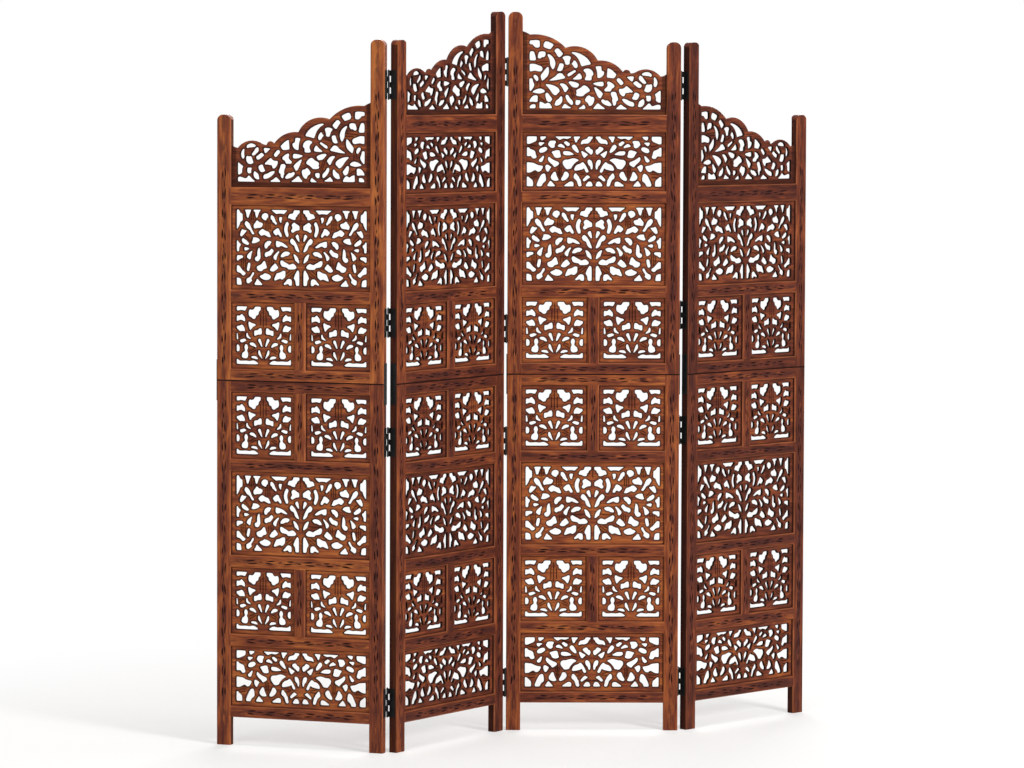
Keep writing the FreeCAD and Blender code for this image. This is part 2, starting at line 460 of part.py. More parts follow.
def stack(start_names, rows):
    """Every row with the names of the sizes below it, whose sum is its lower edge."""
    below = list(start_names)
    placed = []
    for kind, name in rows:
        placed.append((kind, list(below), name))
        below.append(name)
    return placed


def box(name, length, width, height, corner):
    """A box whose three sides and lower corner are expressions on the sheet."""
    solid = doc.addObject("Part::Box", name)
    solid.setExpression("Length", length)
    solid.setExpression("Width", width)
    solid.setExpression("Height", height)
    for axis, expression in zip("xyz", corner):
        solid.setExpression(f"Placement.Base.{axis}", expression)
    return solid


def fuse(name, shapes):
    """One solid from several that overlap."""
    joined = doc.addObject("Part::MultiFuse", name)
    joined.Shapes = shapes
    return joined


def cut(name, base, tools):
    """The base with the tools taken away."""
    result = doc.addObject("Part::Cut", name)
    result.Base = base
    result.Tool = fuse(f"{name}_cuts", tools) if len(tools) > 1 else tools[0]
    return result


def group(name, members):
    """Several separate solids in one node."""
    compound = doc.addObject("Part::Compound", name)
    compound.Links = members
    return compound


def feature(name, shape):
    """A node whose shape is made here from the sheet's sizes."""
    result = doc.addObject("Part::Feature", name)
    result.Shape = shape
    return result


HALF = 0.5
MIDDLE_Y = "(sizes.frame_thickness - {thickness}) / 2"
GROOVE_WIDTH = "sizes.board_thickness + 2 * sizes.groove_clearance"
MORTISE_WIDTH = "sizes.tenon_thickness + 2 * sizes.joint_clearance"
OPENING_WIDTH = "sizes.panel_width - 2 * sizes.stile_width"
RIGHT_STILE_X = "sizes.panel_width - sizes.stile_width"


def centred_y(thickness):
    """The front face of something of this thickness that lies in the middle of the frame."""
    return MIDDLE_Y.format(thickness=f"({thickness})")


# Wood screws: a countersunk head with a slot, a shank and a point. The head's face is at x = 0 and the
# screw points along +x.
def screw_shape():
    along = Vector(1, 0, 0)
    head = Part.makeCone(size["screw_head_radius"], size["screw_shank_radius"], size["screw_head_height"],
                         Vector(), along)
    shank_length = size["screw_length"] - size["screw_tip_length"]
    shank = Part.makeCylinder(size["screw_shank_radius"], shank_length, Vector(), along)
    tip = Part.makeCone(size["screw_shank_radius"], 0, size["screw_tip_length"], Vector(shank_length, 0, 0),
                        along)
    slot = Part.makeBox(size["screw_slot_depth"], 2 * size["screw_head_radius"], size["screw_slot_width"],
                        Vector(0, -size["screw_head_radius"], -HALF * size["screw_slot_width"]))
    return head.fuse([shank, tip]).removeSplitter().cut(slot)


def screw_hole_shape():
    """What a screw takes out of the metal and the wood, with a clearance round it."""
    along = Vector(1, 0, 0)
    clearance = size["pin_clearance"]
    head = Part.makeCone(size["screw_head_radius"] + clearance, size["screw_shank_radius"] + clearance,
                         size["screw_head_height"], Vector(), along)
    shank = Part.makeCylinder(size["screw_shank_radius"] + clearance, size["screw_length"] + clearance,
                              Vector(), along)
    return head.fuse(shank)


def edge_placement(side, depth_y, height):
    """From the screw's own frame to a panel's edge: x = 0 at the face of the edge, pointing into the wood."""
    if side == "left":
        return Placement(Vector(0, depth_y, height), Rotation())
    return Placement(Vector(size["panel_width"], depth_y, height), Rotation(Vector(0, 0, 1), 180))


def hinge_side_y(pin_side):
    """Where the hinge screws sit in the thickness of the frame, for pins at the back or in front."""
    from_pin_face = HALF * size["leaf_depth"]
    return size["frame_thickness"] - from_pin_face if pin_side == "back" else from_pin_face


def hinge_heights(pin_side):
    """The heights of a fold's four hinges, two below the seam and two above it."""
    fold, post = ("outer", "middle") if pin_side == "back" else ("middle", "tall")
    seam_middle = seam_height + HALF * size["seam_gap"]
    return [size["lowest_hinge_height"],
            seam_middle - size[f"{fold}_hinge_below_seam"],
            seam_middle + size[f"{fold}_hinge_above_seam"],
            amount(POST_NAMES[post]) - size[f"{fold}_hinge_below_top"]]


def leaf_screw_heights(hinge_height):
    """The heights of one leaf's screws."""
    first = -HALF * (SCREWS_PER_LEAF - 1)
    return [hinge_height + (first + index) * size["leaf_screw_spacing"] for index in range(SCREWS_PER_LEAF)]


def plate_screw_heights():
    """The heights of one joining plate's screws, two in each frame."""
    middle = seam_height + HALF * size["seam_gap"]
    inner, outer = size["plate_screw_inner"], size["plate_screw_outer"]
    return [middle - outer, middle - inner, middle + inner, middle + outer]


# Where each panel carries hinges: side of the panel, and whether the pins are behind it or in front
HINGED_EDGES = {
    1: (("right", "back"),),
    2: (("left", "back"), ("right", "front")),
    3: (("left", "front"), ("right", "back")),
    4: (("left", "back"),),
}


def screw_seats(panel):
    """Side, depth, height and metal thickness of every screw in a panel."""
    seats = []
    for side, pin_side in HINGED_EDGES[panel]:
        for hinge_height in hinge_heights(pin_side):
            for height in leaf_screw_heights(hinge_height):
                seats.append((side, hinge_side_y(pin_side), height, size["leaf_thickness"]))
    for side in ("left", "right"):
        for height in plate_screw_heights():
            seats.append((side, HALF * size["frame_thickness"], height, size["plate_thickness"]))
    return seats


def seat_placement(side, depth_y, height, metal_thickness):
    """The screw with its head's face level with the outside of the metal."""
    outwards = -metal_thickness
    return edge_placement(side, depth_y, height).multiply(Placement(Vector(outwards, 0, 0), Rotation()))


# Stiles: upright posts with a groove for the boards, mortises for the rails and pilot holes for the screws
def pilot_holes(name, panel, side, low, high):
    """The pilot holes of one stile, between two heights."""
    cutter = screw_hole_shape()
    holes = []
    for seat in screw_seats(panel):
        if seat[0] == side and low < seat[2] < high:
            hole = cutter.copy()
            hole.Placement = seat_placement(*seat)
            holes.append(hole)
    return feature(name, Part.makeCompound(holes))


def stile(panel, half, side, start_names, height, low, high, rows, groove_top):
    """One stile. The groove runs from the first opening to groove_top, an expression."""
    name = f"panel_{panel}_{half}_{side}_stile"
    left = side == "left"
    x = "0" if left else RIGHT_STILE_X
    start = formula(start_names) if start_names else "0"
    stock = box(f"{name}_stock", "sizes.stile_width", "sizes.frame_thickness", height, (x, "0", start))
    if half == "upper":
        doc.recompute()
        stock = round_top(f"{name}_rounded", stock)
    first_opening = next(names for kind, names, row_name in rows if kind != "rail")
    groove_low = f"{formula(first_opening)} - sizes.board_tongue"
    groove_x = "sizes.stile_width - sizes.groove_depth" if left else x
    tools = [box(f"{name}_groove", "sizes.groove_depth", GROOVE_WIDTH, f"{groove_top} - ({groove_low})",
                 (groove_x, centred_y(GROOVE_WIDTH), groove_low))]
    mortise_depth = "sizes.tenon_length + sizes.joint_clearance"
    mortise_x = f"sizes.stile_width - ({mortise_depth})" if left else x
    for index, (kind, names, row_name) in enumerate(rows):
        if kind != "rail":
            continue
        mortise_height = f"sizes.{row_name} - 2 * sizes.tenon_shoulder + 2 * sizes.joint_clearance"
        mortise_low = f"{formula(names)} + sizes.tenon_shoulder - sizes.joint_clearance"
        tools.append(box(f"{name}_mortise_{index}", mortise_depth, MORTISE_WIDTH, mortise_height,
                         (mortise_x, centred_y(MORTISE_WIDTH), mortise_low)))
    tools.append(pilot_holes(f"{name}_pilot_holes", panel, side, low, high))
    return cut(name, stock, tools)


def round_top(name, stock):
    """Rounds the two upper edges that run from front to back."""
    top = stock.Shape.BoundBox.ZMax
    tolerance = THOUSANDTH
    edges = []
    for index, edge in enumerate(stock.Shape.Edges, start=1):
        middle = edge.CenterOfMass
        along = edge.tangentAt(edge.FirstParameter)
        if abs(middle.z - top) < tolerance and abs(along.y) > 1 - tolerance:
            edges.append((index, size["post_top_radius"], size["post_top_radius"]))
    rounded = doc.addObject("Part::Fillet", name)
    rounded.Base = stock
    rounded.Edges = edges
    return rounded


# Rails: a bar with a tenon at each end and a groove along each edge that meets a board
def rail(name, names, row_name, opening_below, opening_above):
    low = formula(names)
    bar = box(f"{name}_bar", OPENING_WIDTH, "sizes.frame_thickness", f"sizes.{row_name}",
              ("sizes.stile_width", "0", low))
    tenon = box(f"{name}_tenon", f"{OPENING_WIDTH} + 2 * sizes.tenon_length", "sizes.tenon_thickness",
                f"sizes.{row_name} - 2 * sizes.tenon_shoulder",
                ("sizes.stile_width - sizes.tenon_length", centred_y("sizes.tenon_thickness"),
                 f"{low} + sizes.tenon_shoulder"))
    grooves = []
    if opening_below:
        grooves.append(box(f"{name}_lower_groove", OPENING_WIDTH, GROOVE_WIDTH, "sizes.groove_depth",
                           ("sizes.stile_width", centred_y(GROOVE_WIDTH), low)))
    if opening_above:
        grooves.append(box(f"{name}_upper_groove", OPENING_WIDTH, GROOVE_WIDTH, "sizes.groove_depth",
                           ("sizes.stile_width", centred_y(GROOVE_WIDTH),
                            f"{low} + sizes.{row_name} - sizes.groove_depth")))
    return cut(name, fuse(f"{name}_blank", [bar, tenon]), grooves)


# Mullions: short uprights between two square boards, with a stub tenon at each end
def mullion(name, names):
    low = formula(names)
    x = "(sizes.panel_width - sizes.mullion_width) / 2"
    bar = box(f"{name}_bar", "sizes.mullion_width", "sizes.frame_thickness", "sizes.square_opening_height",
              (x, "0", low))
    stub = box(f"{name}_stub", "sizes.mullion_width - 2 * sizes.tenon_shoulder", "sizes.tenon_thickness",
               "sizes.square_opening_height + 2 * sizes.board_tongue",
               (f"{x} + sizes.tenon_shoulder", centred_y("sizes.tenon_thickness"),
                f"{low} - sizes.board_tongue"))
    grooves = []
    for side, groove_x in (("left", x), ("right", f"{x} + sizes.mullion_width - sizes.groove_depth")):
        grooves.append(box(f"{name}_{side}_groove", "sizes.groove_depth", GROOVE_WIDTH,
                           "sizes.square_opening_height", (groove_x, centred_y(GROOVE_WIDTH), low)))
    return cut(name, fuse(f"{name}_blank", [bar, stub]), grooves)


# Carved boards: each is one pierced plate whose edges reach into the grooves round it
CURVE_DEGREE = 2
SHARP_TURN = 50
CORNER_LEG_SHARE = 0.35


def corner_poles(before, corner, after):
    """What leads the curve past one point: the point itself, or two close by that keep a sharp corner."""
    legs = [before - corner, after - corner]
    turn = 180 - math.degrees(legs[0].getAngle(legs[1]))
    if turn < SHARP_TURN:
        return [corner]
    return [corner + leg * min(size["hole_corner"] / leg.Length, CORNER_LEG_SHARE) for leg in legs]


def hole_wire(points):
    """A closed curve that the points lead, soft at slight bends and crisp at sharp ones."""
    poles = []
    for before, corner, after in zip(points[-1:] + points[:-1], points, points[1:] + points[:1]):
        poles += corner_poles(before, corner, after)
    curve = Part.BSplineCurve()
    curve.buildFromPoles(poles, True, CURVE_DEGREE)
    return Part.Wire([curve.toShape()])


def straight_wire(points):
    """A closed outline of straight lines."""
    return Part.makePolygon(list(points) + [points[0]])


def plate_with_holes(outline, holes):
    """The outline less the holes, as thick as a board, with its front face at y = 0."""
    face = Part.makeFace([outline] + holes, "Part::FaceMakerBullseye")
    return face.extrude(Vector(0, size["board_thickness"], 0))


def pierced_board(width, height, holes_share, pattern_height_share):
    """A board for an opening of this width and height, with its origin at the opening's lower left corner."""
    border, tongue = size["board_border"], size["board_tongue"]
    pierced_width, pierced_height = width - 2 * border, height - 2 * border
    outline = straight_wire([Vector(-tongue, 0, -tongue), Vector(width + tongue, 0, -tongue),
                             Vector(width + tongue, 0, height + tongue), Vector(-tongue, 0, height + tongue)])
    holes = []
    for hole in holes_share:
        for mirror in (1, -1):
            holes.append(hole_wire([
                Vector(HALF * width + mirror * x_share * THOUSANDTH * pierced_width, 0,
                       border + y_share / pattern_height_share * pierced_height)
                for x_share, y_share in hole]))
    return plate_with_holes(outline, holes)


def crest_board(tall_side):
    """The crest, with its origin at the lower left corner of the space over the top rail."""
    tongue = size["board_tongue"]
    unit = opening_width * THOUSANDTH

    def place(x_share, y_share):
        x = x_share * unit
        return Vector(x if tall_side == "left" else opening_width - x, 0, y_share * unit)

    outwards = -tongue if tall_side == "left" else tongue
    tall_top, short_top = place(0, CREST_TALL_SIDE_SHARE), place(1 / THOUSANDTH, CREST_SHORT_SIDE_SHARE)
    tall_end, short_end = tall_top + Vector(outwards, 0, 0), short_top - Vector(outwards, 0, 0)
    edges = [Part.Arc(*(place(*point) for point in arc)).toShape() for arc in CREST_EDGE_SHARE]
    foot = [Vector(tall_end.x, 0, -tongue), Vector(short_end.x, 0, -tongue)]
    rim = [short_top, short_end, foot[1], foot[0], tall_end, tall_top]
    edges += [Part.LineSegment(first, second).toShape() for first, second in zip(rim, rim[1:])]
    outline = Part.Wire(Part.__sortEdges__(edges))
    holes = [hole_wire([place(*point) for point in hole]) for hole in CREST_HOLES_SHARE]
    return plate_with_holes(outline, holes)


def copies(shape, corners):
    """Copies of one shape, each with its origin at a corner."""
    placed = []
    for corner in corners:
        copy = shape.copy()
        copy.Placement = Placement(corner, Rotation())
        placed.append(copy)
    return Part.makeCompound(placed)


square_width = HALF * (opening_width - size["mullion_width"])
BOARD_SHAPES = {
    "tree": pierced_board(opening_width, size["tree_opening_height"], TREE_HOLES_SHARE,
                          TREE_PATTERN_HEIGHT_SHARE),
    "wide": pierced_board(opening_width, size["wide_opening_height"], WIDE_HOLES_SHARE,
                          WIDE_PATTERN_HEIGHT_SHARE),
    "square": pierced_board(square_width, size["square_opening_height"], SQUARE_HOLES_SHARE,
                            SQUARE_PATTERN_HEIGHT_SHARE),
}
CREST_SHAPES = {side: crest_board(side) for side in ("left", "right")}


# Hinges. The pin's axis is x = 0, y = 0 and the hinge is centred on z = 0. This is a hinge with its pin
# behind the frame: one leaf has its plate on the left, the other on the right. A hinge with its pin in front
# is the same one turned round, so its leaves change sides.
def hinge_leaf(plate_side, knuckle_levels):
    """One leaf: a plate against the stile's edge and the knuckles that wrap the pin."""
    step = size["leaf_height"] / KNUCKLES_PER_HINGE
    bottom = -HALF * size["leaf_height"]
    depth = size["leaf_depth"] + size["pin_stand_off"]
    wood_x = HALF * size["fold_gap"]
    plate_x = -wood_x if plate_side == "left" else wood_x - size["leaf_thickness"]
    leaf = Part.makeBox(size["leaf_thickness"], depth, size["leaf_height"], Vector(plate_x, -depth, bottom))
    gap = size["knuckle_gap"]
    cut_depth = size["pin_stand_off"] + size["knuckle_cut_out"]
    barrels, cut_outs = [], []
    for level in range(KNUCKLES_PER_HINGE):
        low = bottom + level * step
        if level in knuckle_levels:
            barrels.append(Part.makeCylinder(size["knuckle_radius"], step - gap,
                                             Vector(0, 0, low + HALF * gap)))
        else:
            cut_outs.append(Part.makeBox(size["leaf_thickness"], cut_depth, step + gap,
                                         Vector(plate_x, -cut_depth, low - HALF * gap)))
    bore = Part.makeCylinder(size["pin_radius"] + size["pin_clearance"], size["leaf_height"],
                             Vector(0, 0, bottom))
    leaf = leaf.cut(cut_outs).fuse(barrels).cut(bore)
    holes = []
    for height in leaf_screw_heights(0):
        hole = screw_hole_shape()
        outside_x = plate_x + size["leaf_thickness"] if plate_side == "left" else plate_x
        turn = Rotation(Vector(0, 0, 1), 180) if plate_side == "left" else Rotation()
        screw_y = -(size["pin_stand_off"] + HALF * size["leaf_depth"])
        hole.Placement = Placement(Vector(outside_x, screw_y, height), turn)
        holes.append(hole)
    return leaf.cut(holes)


def hinge_pin():
    """The pin with a button at each end."""
    reach = HALF * size["leaf_height"] + size["knuckle_gap"]
    shapes = [Part.makeCylinder(size["pin_radius"], 2 * reach, Vector(0, 0, -reach))]
    for direction in (1, -1):
        up = Vector(0, 0, direction)
        shapes.append(Part.makeCone(size["pin_button_radius"], size["pin_radius"], size["pin_button_height"],
                                    up * reach, up))
    return shapes[0].fuse(shapes[1:])


LEFT_PLATE_KNUCKLES = (1, 3)
RIGHT_PLATE_KNUCKLES = (0, 2, 4)
LEAF_SHAPES = {
    "left": hinge_leaf("left", LEFT_PLATE_KNUCKLES),
    "right": hinge_leaf("right", RIGHT_PLATE_KNUCKLES),
}
OTHER_SIDE = {"left": "right", "right": "left"}


def pin_axis(side, pin_side):
    """The pin's place in the frame of a panel, for one of its edges."""
    beyond = HALF * size["fold_gap"]
    x = -beyond if side == "left" else size["panel_width"] + beyond
    stand_off = size["pin_stand_off"]
    y = size["frame_thickness"] + stand_off if pin_side == "back" else -stand_off
    return Vector(x, y, 0)


def hinge_shapes(shape, side, pin_side):
    """Copies of a leaf or a pin at the hinges of one edge."""
    turn = Rotation() if pin_side == "back" else Rotation(Vector(0, 0, 1), 180)
    placed = []
    for height in hinge_heights(pin_side):
        copy = shape.copy()
        copy.Placement = Placement(pin_axis(side, pin_side) + Vector(0, 0, height), turn)
        placed.append(copy)
    return Part.makeCompound(placed)


def leaf_shape(panel_edge, pin_side):
    """The leaf that is screwed to a panel's edge. A right edge carries the fold's left leaf."""
    plate_side = OTHER_SIDE[panel_edge]
    return LEAF_SHAPES[plate_side if pin_side == "back" else OTHER_SIDE[plate_side]]


# Joining plates: flat straps on the stiles' outer edges, across the seam
def joining_plate(side):
    x = -size["plate_thickness"] if side == "left" else size["panel_width"]
    front = HALF * (size["frame_thickness"] - size["plate_depth"])
    low = seam_height + HALF * (size["seam_gap"] - size["plate_height"])
    plate = Part.makeBox(size["plate_thickness"], size["plate_depth"], size["plate_height"],
                         Vector(x, front, low))
    holes = []
    for height in plate_screw_heights():
        hole = screw_hole_shape()
        hole.Placement = seat_placement(side, HALF * size["frame_thickness"], height,
                                        size["plate_thickness"])
        holes.append(hole)
    return plate.cut(holes)


# Where the panels stand. Panel 3 faces the front, and the others turn on the pins beside them.
heading = {3: 0.0}
heading[2] = heading[3] + 180 - size["fold_23_angle"]
heading[1] = heading[2] - (180 - size["fold_12_angle"])
heading[4] = heading[3] + 180 - size["fold_34_angle"]


def panel_placement(panel, own_axis, world_axis):
    """The panel turned to its heading, with a point of its own frame brought to a point of the world."""
    turn = Rotation(Vector(0, 0, 1), heading[panel])
    return Placement(world_axis - turn.multVec(own_axis), turn)


def panel_placements(origin_shift):
    """Every panel's placement, and the place of the three pins."""
    stand = {3: Placement(-origin_shift, Rotation(Vector(0, 0, 1), heading[3]))}
    middle_pin = stand[3].multVec(pin_axis("left", "front"))
    stand[2] = panel_placement(2, pin_axis("right", "front"), middle_pin)
    first_pin = stand[2].multVec(pin_axis("left", "back"))
    stand[1] = panel_placement(1, pin_axis("right", "back"), first_pin)
    last_pin = stand[3].multVec(pin_axis("right", "back"))
    stand[4] = panel_placement(4, pin_axis("left", "back"), last_pin)
    return stand, {"fold_12": first_pin, "fold_23": middle_pin, "fold_34": last_pin}


sub_parts = {}


def keep(panel, result, label=None):
    """Notes a finished sub-part and the panel that it belongs to."""
    result.Label = label or result.Name
    sub_parts[result.Label] = (panel, result)


def build_panel(panel):
    left_post, right_post, upper_rows, tall_side = PANELS[panel]
    lower = stack(["leg_height"], LOWER_ROWS)
    upper = stack(UPPER_START_NAMES, upper_rows)
    upper_start = seam_height + size["seam_gap"]
    last_opening = [names + [row_name] for kind, names, row_name in lower if kind != "rail"][-1]
    crest_start = UPPER_START_NAMES + [row_name for kind, row_name in upper_rows]

    for side, post in (("left", left_post), ("right", right_post)):
        keep(panel, stile(panel, "lower", side, [], formula(SEAM_NAMES), 0, seam_height, lower,
                          f"{formula(last_opening)} + sizes.board_tongue"))
        side_share = CREST_TALL_SIDE_SHARE if side == tall_side else CREST_SHORT_SIDE_SHARE
        crest_top = f"{formula(crest_start)} + {side_share * THOUSANDTH} * ({OPENING_WIDTH})"
        post_length = formula(POST_NAMES[post][len(UPPER_START_NAMES):])
        keep(panel, stile(panel, "upper", side, UPPER_START_NAMES, post_length, upper_start,
                          amount(POST_NAMES[post]), upper, f"{crest_top} + sizes.groove_clearance"))

    rails = []
    for half, rows in (("lower", lower), ("upper", upper)):
        for index, (kind, names, row_name) in enumerate(rows):
            if kind != "rail":
                continue
            has_crest = half == "upper" and index == len(rows) - 1
            rails.append(rail(f"panel_{panel}_{half}_rail_{index}", names, row_name, index > 0,
                              index < len(rows) - 1 or has_crest))
    keep(panel, group(f"panel_{panel}_rails", rails))

    corners = {"tree": [], "wide": [], "square": []}
    mullions = []
    board_y = HALF * (size["frame_thickness"] - size["board_thickness"])
    for kind, names, row_name in lower + upper:
        if kind == "rail":
            continue
        corners[kind].append(Vector(size["stile_width"], board_y, amount(names)))
        if kind == "square":
            mullions.append(mullion(f"panel_{panel}_mullion_{len(mullions) + 1}", names))
            step = Vector(square_width + size["mullion_width"], 0, 0)
            corners[kind].append(corners[kind][-1] + step)
    keep(panel, group(f"panel_{panel}_mullions", mullions))
    for kind, places in corners.items():
        plural = "boards" if len(places) > 1 else "board"
        keep(panel, feature(f"panel_{panel}_{kind}_{plural}", copies(BOARD_SHAPES[kind], places)))
    crest_corner = Vector(size["stile_width"], board_y, amount(crest_start))
    keep(panel, feature(f"panel_{panel}_crest_board", copies(CREST_SHAPES[tall_side], [crest_corner])))

    keep(panel, feature(f"panel_{panel}_joining_plates",
                        Part.makeCompound([joining_plate(side) for side in ("left", "right")])))
    screw = screw_shape()
    screws = []
    for seat in screw_seats(panel):
        copy = screw.copy()
        copy.Placement = seat_placement(*seat)
        screws.append(copy)
    keep(panel, feature(f"panel_{panel}_screws", Part.makeCompound(screws)))


# Each fold: its name, the panel on its left and on its right, and the side of its pins
FOLDS = (("fold_12", 1, 2, "back"), ("fold_23", 2, 3, "front"), ("fold_34", 3, 4, "back"))


def build_fold(fold, left_panel, right_panel, pin_side):
    for panel, edge, leaf_side in ((left_panel, "right", "left"), (right_panel, "left", "right")):
        keep(panel, feature(f"{fold}_{leaf_side}_leaves",
                            hinge_shapes(leaf_shape(edge, pin_side), edge, pin_side)))
    keep(right_panel, feature(f"{fold}_pins", hinge_shapes(hinge_pin(), "left", pin_side)))


for number in PANELS:
    build_panel(number)
for fold_row in FOLDS:
    build_fold(*fold_row)
doc.recompute()


def place_all(origin_shift):
    """Puts every sub-part on its panel's placement and returns the pins' places."""
    stand, pins = panel_placements(origin_shift)
    for panel, result in sub_parts.values():
        result.Placement = stand[panel]
    doc.recompute()
    return pins


def whole_box():
    """The box round every sub-part."""
    whole = FreeCAD.BoundBox()
    for panel, result in sub_parts.values():
        whole.add(result.Shape.optimalBoundingBox(False))
    return whole


# The origin is on the floor under the middle of the whole screen
place_all(Vector())
first_box = whole_box()
pin_places = place_all(Vector(first_box.Center.x, first_box.Center.y, 0))

problems = [item.Name for item in doc.Objects if "Invalid" in item.State or "Error" in item.State]
for label, (panel, result) in sub_parts.items():
    shape = result.Shape
    if shape.isNull() or not shape.isValid() or not shape.Solids:
        problems.append(label)
if problems:
    raise RuntimeError(f"these objects failed: {problems}")

os.makedirs("parts", exist_ok=True)
for label, (panel, result) in sub_parts.items():
    result.Shape.exportStep(f"parts/{label}.step")

final_box = whole_box()
print("sub-parts", len(sub_parts), "solids", sum(len(item.Shape.Solids) for panel, item in sub_parts.values()))
print("box", [round(value, 3) for value in (final_box.XMin, final_box.YMin, final_box.ZMin, final_box.XMax,
                                            final_box.YMax, final_box.ZMax)])
print("seam height", round(seam_height, 3))
for name, place in pin_places.items():
    print(name, "pin at", round(place.x, 3), round(place.y, 3))
for number in PANELS:
    print("panel", number, "heading", heading[number])
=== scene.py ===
import math

import bpy
import numpy as np
from mathutils import Matrix, Vector, geometry, kdtree


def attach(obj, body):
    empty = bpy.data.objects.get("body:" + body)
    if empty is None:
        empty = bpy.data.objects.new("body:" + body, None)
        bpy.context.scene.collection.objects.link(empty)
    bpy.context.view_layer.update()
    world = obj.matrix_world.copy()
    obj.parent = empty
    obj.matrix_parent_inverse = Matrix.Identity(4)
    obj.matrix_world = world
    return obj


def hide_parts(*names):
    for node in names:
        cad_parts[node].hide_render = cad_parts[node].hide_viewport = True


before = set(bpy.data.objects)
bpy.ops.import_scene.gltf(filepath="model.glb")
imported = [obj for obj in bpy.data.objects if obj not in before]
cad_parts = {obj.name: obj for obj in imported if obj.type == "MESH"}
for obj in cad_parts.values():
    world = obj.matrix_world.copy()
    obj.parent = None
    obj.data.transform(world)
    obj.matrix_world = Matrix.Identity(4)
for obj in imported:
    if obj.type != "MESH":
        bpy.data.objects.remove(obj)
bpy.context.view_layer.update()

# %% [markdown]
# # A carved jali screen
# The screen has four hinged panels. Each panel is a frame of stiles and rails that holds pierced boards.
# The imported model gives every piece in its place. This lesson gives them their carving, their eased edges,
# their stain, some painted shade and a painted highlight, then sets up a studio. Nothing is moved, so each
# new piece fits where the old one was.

MM = 0.001
PANELS = ("panel_1", "panel_2", "panel_3", "panel_4")
HEADING_DEGREES = {"panel_1": -18.0, "panel_2": 52.5, "panel_3": 0.0, "panel_4": 42.5}


def deselect():
    """Leave edit mode and let go of everything, because an operator acts on all that is selected."""
    if bpy.context.object and bpy.context.object.mode != "OBJECT":
        bpy.ops.object.mode_set(mode="OBJECT")
    bpy.ops.object.select_all(action="DESELECT")


def pick(piece):
    """Make one piece the only selected and active one."""
    deselect()
    piece.select_set(True)
    bpy.context.view_layer.objects.active = piece


def points_of(piece):
    """The mesh's points in millimetres, as rows of x, y, z."""
    flat = np.empty(len(piece.data.vertices) * 3)
    piece.data.vertices.foreach_get("co", flat)
    return flat.reshape(-1, 3) / MM


def new_piece(name, mesh):
    """A scene object that shows the mesh."""
    piece = bpy.data.objects.new(name, mesh)
    bpy.context.scene.collection.objects.link(piece)
    return piece


def linear(hex_colour):
    """An sRGB hex colour as the linear value that a shader wants."""
    parts = [int(hex_colour[i:i + 2], 16) / 255 for i in (1, 3, 5)]
    return [c / 12.92 if c <= 0.04045 else ((c + 0.055) / 1.055) ** 2.4 for c in parts] + [1.0]


# %% [markdown]
# ## Where each panel stands
# A rail of a turned panel is awkward to work on in the room's own axes. On a bench it would lie flat, so
# each panel gets a bench frame: x along the panel, y from front to back, z up. Its corner is read from
# the panel's own lower left stile.

# %% Each panel's bench frame
BENCH = {}
for panel in PANELS:
    turn = Matrix.Rotation(math.radians(HEADING_DEGREES[panel]), 4, "Z")
    stile_points = points_of(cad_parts[f"{panel}_lower_left_stile"]) @ np.array(turn.to_3x3())
    corner = Vector(stile_points.min(0) * MM)
    BENCH[panel] = turn @ Matrix.Translation(corner)
    print(panel, "corner", [round(v / MM, 2) for v in BENCH[panel].translation])


def on_bench(points, panel):
    """Room points in millimetres as bench points."""
    back = np.array(BENCH[panel].inverted())
    return points @ back[:3, :3].T + back[:3, 3] / MM


# %% [markdown]
# ## The camera
# The picture was taken from well back, at about eye height, so the uprights stay nearly parallel. The
# lens axis meets the picture above its middle, as when a taller picture is cropped, and a small shift
# does the same here.

# %% Camera
PICTURE_WIDTH = 1024
CAMERA_PLACE_MM = (-117.4, -9093.4, 1494.5)
CAMERA_YAW, CAMERA_PITCH, CAMERA_ROLL = (math.radians(a) for a in (0.635, -2.658, 0.217))
FOCAL_PIXELS = 3985.3
AXIS_ABOVE_MIDDLE_PIXELS = 119.0
SENSOR_WIDTH_MM = 36.0
SIGHT_LIMIT = 60.0

bpy.ops.object.camera_add()
camera = bpy.context.object
camera.name = "picture_camera"
camera.data.sensor_width = SENSOR_WIDTH_MM
camera.data.lens = FOCAL_PIXELS / PICTURE_WIDTH * SENSOR_WIDTH_MM
camera.data.shift_y = -AXIS_ABOVE_MIDDLE_PIXELS / PICTURE_WIDTH
camera.data.clip_end = SIGHT_LIMIT
look = Matrix.Rotation(-CAMERA_YAW, 4, "Z") @ Matrix.Rotation(math.pi / 2 + CAMERA_PITCH, 4, "X")
camera.matrix_world = (Matrix.Translation(Vector(CAMERA_PLACE_MM) * MM) @ look
                       @ Matrix.Rotation(CAMERA_ROLL, 4, "Z"))
bpy.context.scene.camera = camera
print("lens", round(camera.data.lens, 1), "mm")

# %% [markdown]
# ## One helper for shader nodes
# A material is a small graph. The helper adds one node, sets its fields, and fills or links its inputs.

# %% Node helper


def add(tree, kind, inputs=None, **settings):
    """Add a node. An input given as a socket is linked, and any other value is written on it."""
    node = tree.nodes.new(kind)
    for key, value in settings.items():
        setattr(node, key, value)
    for key, value in (inputs or {}).items():
        if isinstance(value, bpy.types.NodeSocket):
            tree.links.new(value, node.inputs[key])
        else:
            node.inputs[key].default_value = value
    return node


def fresh_material(name):
    """An empty node material with its output, and the tree to add to."""
    material = bpy.data.materials.new(name)
    material.use_nodes = True
    material.node_tree.nodes.clear()
    return material, material.node_tree


# %% [markdown]
# ## The studio
# The picture has a plain white ground. Here the screen stands on a pale floor that keeps its soft shadow
# and fades to white further off. The world is white to the camera, to gloss and to glass, and dim as a
# lamp.

# %% Floor and world
FLOOR_HEX = "#F2F1EF"
FLOOR_SIZE = 28.0
FLOOR_GLOW = 0.35
FADE_START, FADE_END = 0.825, 1.87
SPECKLE_SCALE, SPECKLE_DARKEST = 40.0, 0.97
AMBIENT_STRENGTH = 0.20

